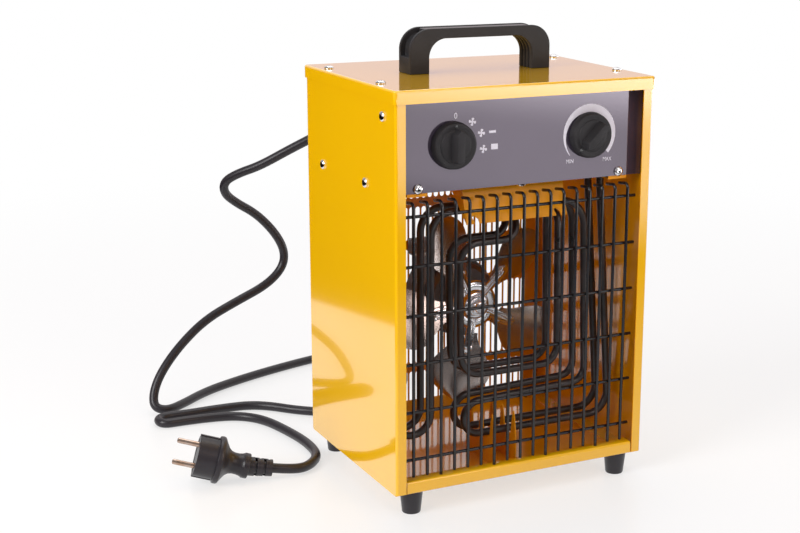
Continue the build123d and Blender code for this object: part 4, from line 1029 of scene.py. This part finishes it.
def slope(tree, x, y, along_x, along_y):
    """A height that rises evenly along X and Y."""
    return calc(tree, "ADD", calc(tree, "MULTIPLY", x, along_x), calc(tree, "MULTIPLY", y, along_y))


def ramp(tree, value, start, end, low, high):
    """A smooth step of a socket from low to high."""
    node, = add_nodes(tree, "MapRange")
    node.interpolation_type = "SMOOTHSTEP"
    for socket, given in zip(node.inputs[1:5], (start, end, low, high)):
        socket.default_value = given
    tree.links.new(value, node.inputs[0])
    return node.outputs[0]


def lamp(name, place, aim, energy, size, tint=(1.0, 1.0, 1.0)):
    data = bpy.data.lights.new(name, "AREA")
    data.shape, data.size, data.energy, data.color = "SQUARE", size, energy, tint
    made = add_object(name, data)
    made.location = place
    made.rotation_euler = (Vector(aim) - Vector(place)).to_track_quat("-Z", "Y").to_euler()


class AddStage(bpy.types.Operator):
    """Adds the pale floor, the soft studio light and the camera"""
    bl_idname = "heater.add_stage"
    bl_label = "Stage"

    def floor(self, context):
        mesh = as_mesh("floor", disc(FLOOR_RADIUS, 96))
        add_object("floor", mesh)
        material = bpy.data.materials.new("pale_floor")
        mesh.materials.append(material)
        tree = empty_tree(material)
        out, mix, lit, glow, place, reach, path, split = add_nodes(
            tree, "OutputMaterial", "MixShader", "BsdfPrincipled", "Emission", "TexCoord",
            "VectorMath", "LightPath", "SeparateXYZ")
        lit.inputs["Base Color"].default_value = (*context.scene.heater_colours.floor, 1)
        lit.inputs["Roughness"].default_value = 0.28
        glow.inputs["Color"].default_value = WHITE
        reach.operation = "LENGTH"
        x, y = split.outputs[0], split.outputs[1]
        camera, glossy = path.outputs["Is Camera Ray"], path.outputs["Is Glossy Ray"]
        fade = ramp(tree, reach.outputs["Value"], 0.30, 1.5, 0.62, 1.0)
        share = calc(tree, "MAXIMUM", calc(tree, "MULTIPLY", camera, fade), glossy)
        # painted reflections: for glossy rays only, the floor glows white round the casing and to
        # its right, far more strongly out to the front right, and dark to the left; it is no lamp
        reflected_band = ramp(tree, slope(tree, x, y, 1.0, -0.277), -0.487, -0.467, 0.0, 0.92)
        near = ramp(tree, y, -0.85, -0.10, 0.0, 1.0)
        distance = slope(tree, x, y, 0.82, -0.57)
        beyond = calc(tree, "ADD", ramp(tree, distance, 0.88, 1.32, 0.0, 2.2),
                      ramp(tree, distance, 1.85, 2.80, 0.0, 4.6))
        mirrored = calc(tree, "MAXIMUM", calc(tree, "MULTIPLY", reflected_band, near), beyond)
        join(tree, (place, "Object", reach, 0), (place, "Object", split, 0),
             (calc(tree, "MAXIMUM", mirrored, camera), glow, "Strength"), (share, mix, "Fac"),
             (lit, "BSDF", mix, 1), (glow, "Emission", mix, 2), (mix, "Shader", out, "Surface"))

    def surroundings(self, context):
        world = bpy.data.worlds.new("studio")
        context.scene.world = world
        tree = empty_tree(world)
        out, mix, blend, soft, seen, low, path, place, split = add_nodes(
            tree, "OutputWorld", "MixShader", "MixShader", "Background", "Background", "Background",
            "LightPath", "TexCoord", "SeparateXYZ")
        soft.inputs["Color"].default_value = (1.0, 0.95, 0.97, 1)
        soft.inputs["Strength"].default_value = 0.52
        seen.inputs["Color"].default_value = WHITE
        low.inputs["Color"].default_value = (0.80, 0.655, 0.67, 1)
        camera, glossy, clear = (path.outputs[f"Is {kind} Ray"]
                                 for kind in ("Camera", "Glossy", "Transmission"))
        x, y, z = split.outputs
        backdrop = ramp(tree, slope(tree, x, y, 0.9, 0.5), 0.15, 0.50, 0.35, 1.0)
        height = ramp(tree, z, 0.18, 0.34, 1.0, 0.0)
        share = calc(tree, "MAXIMUM", calc(tree, "MAXIMUM", camera, glossy), clear)
        join(tree, (place, "Generated", split, 0),
             (calc(tree, "MAXIMUM", backdrop, camera), seen, "Strength"), (share, mix, "Fac"),
             (soft, 0, mix, 1), (seen, 0, mix, 2), (backdrop, low, "Strength"),
             (calc(tree, "MULTIPLY", height, glossy), blend, "Fac"), (mix, 0, blend, 1),
             (low, 0, blend, 2), (blend, 0, out, "Surface"))

    def camera(self, context):
        # its place, turn and lens were solved on the casing's edges in the photograph
        data = bpy.data.cameras.new("camera")
        data.sensor_width = SENSOR
        data.lens = 1553.5 / FRAME_WIDTH * SENSOR
        data.shift_x, data.shift_y = -90.1 / FRAME_WIDTH, 6.5 / FRAME_WIDTH
        data.clip_start, data.clip_end = 0.05, 50.0
        camera = add_object("camera", data)
        right, up = Vector((0.88213, -0.47087, 0.01146)), Vector((0.10717, 0.22435, 0.96860))
        turn = Matrix((right, up, right.cross(up))).transposed().to_4x4()
        camera.matrix_world = Matrix.Translation(TO_PART @ Vector((-621.6, -1185.1, 520.4))) @ turn
        context.scene.camera = camera

    def execute(self, context):
        self.floor(context)
        self.surroundings(context)
        self.camera(context)
        lamp("key_softbox", (-2.4, -0.6, 1.5), (0, 0, 0.15), 52.0, 1.3)
        lamp("front_softbox", (0.7, -2.2, 1.5), (0, 0, 0.15), 13.0, 1.0, (1.0, 0.84, 0.78))
        lamp("top_softbox", (0.2, 0.6, 2.2), (0, 0, 0.2), 13.0, 1.4)
        context.scene.view_settings.view_transform = "Standard"
        return {"FINISHED"}


STEPS = (AddFinishes, AddStage, AddLead, AddLid, AddWalls, AddBack, AddPanelMarks, AddKnobs,
         AddGrille, AddElements, AddBrackets, AddFan, AddHandle, AddFeet, AddScrews)


class HeaterPanel(bpy.types.Panel):
    """Lists the heater's pieces, sizes and colours"""
    bl_idname = "VIEW3D_PT_heater"
    bl_label = "Forced air heater"
    bl_space_type = "VIEW_3D"
    bl_region_type = "UI"
    bl_category = "Heater"

    def draw(self, context):
        for step in STEPS:
            self.layout.operator(step.bl_idname)
        for group in (context.scene.heater_sizes, context.scene.heater_colours):
            box = self.layout.box()
            for name in group.__annotations__:
                box.prop(group, name)


CLASSES = (HeaterColours, HeaterSizes, *STEPS, HeaterPanel)


def register():
    for each in CLASSES:
        bpy.utils.register_class(each)
    bpy.types.Scene.heater_colours = PointerProperty(type=HeaterColours)
    bpy.types.Scene.heater_sizes = PointerProperty(type=HeaterSizes)


def unregister():
    del bpy.types.Scene.heater_sizes
    del bpy.types.Scene.heater_colours
    for each in reversed(CLASSES):
        bpy.utils.unregister_class(each)


def main():
    register()
    for step in STEPS:
        group, name = step.bl_idname.split(".")
        getattr(getattr(bpy.ops, group), name)()


if __name__ == "__main__":
    main()
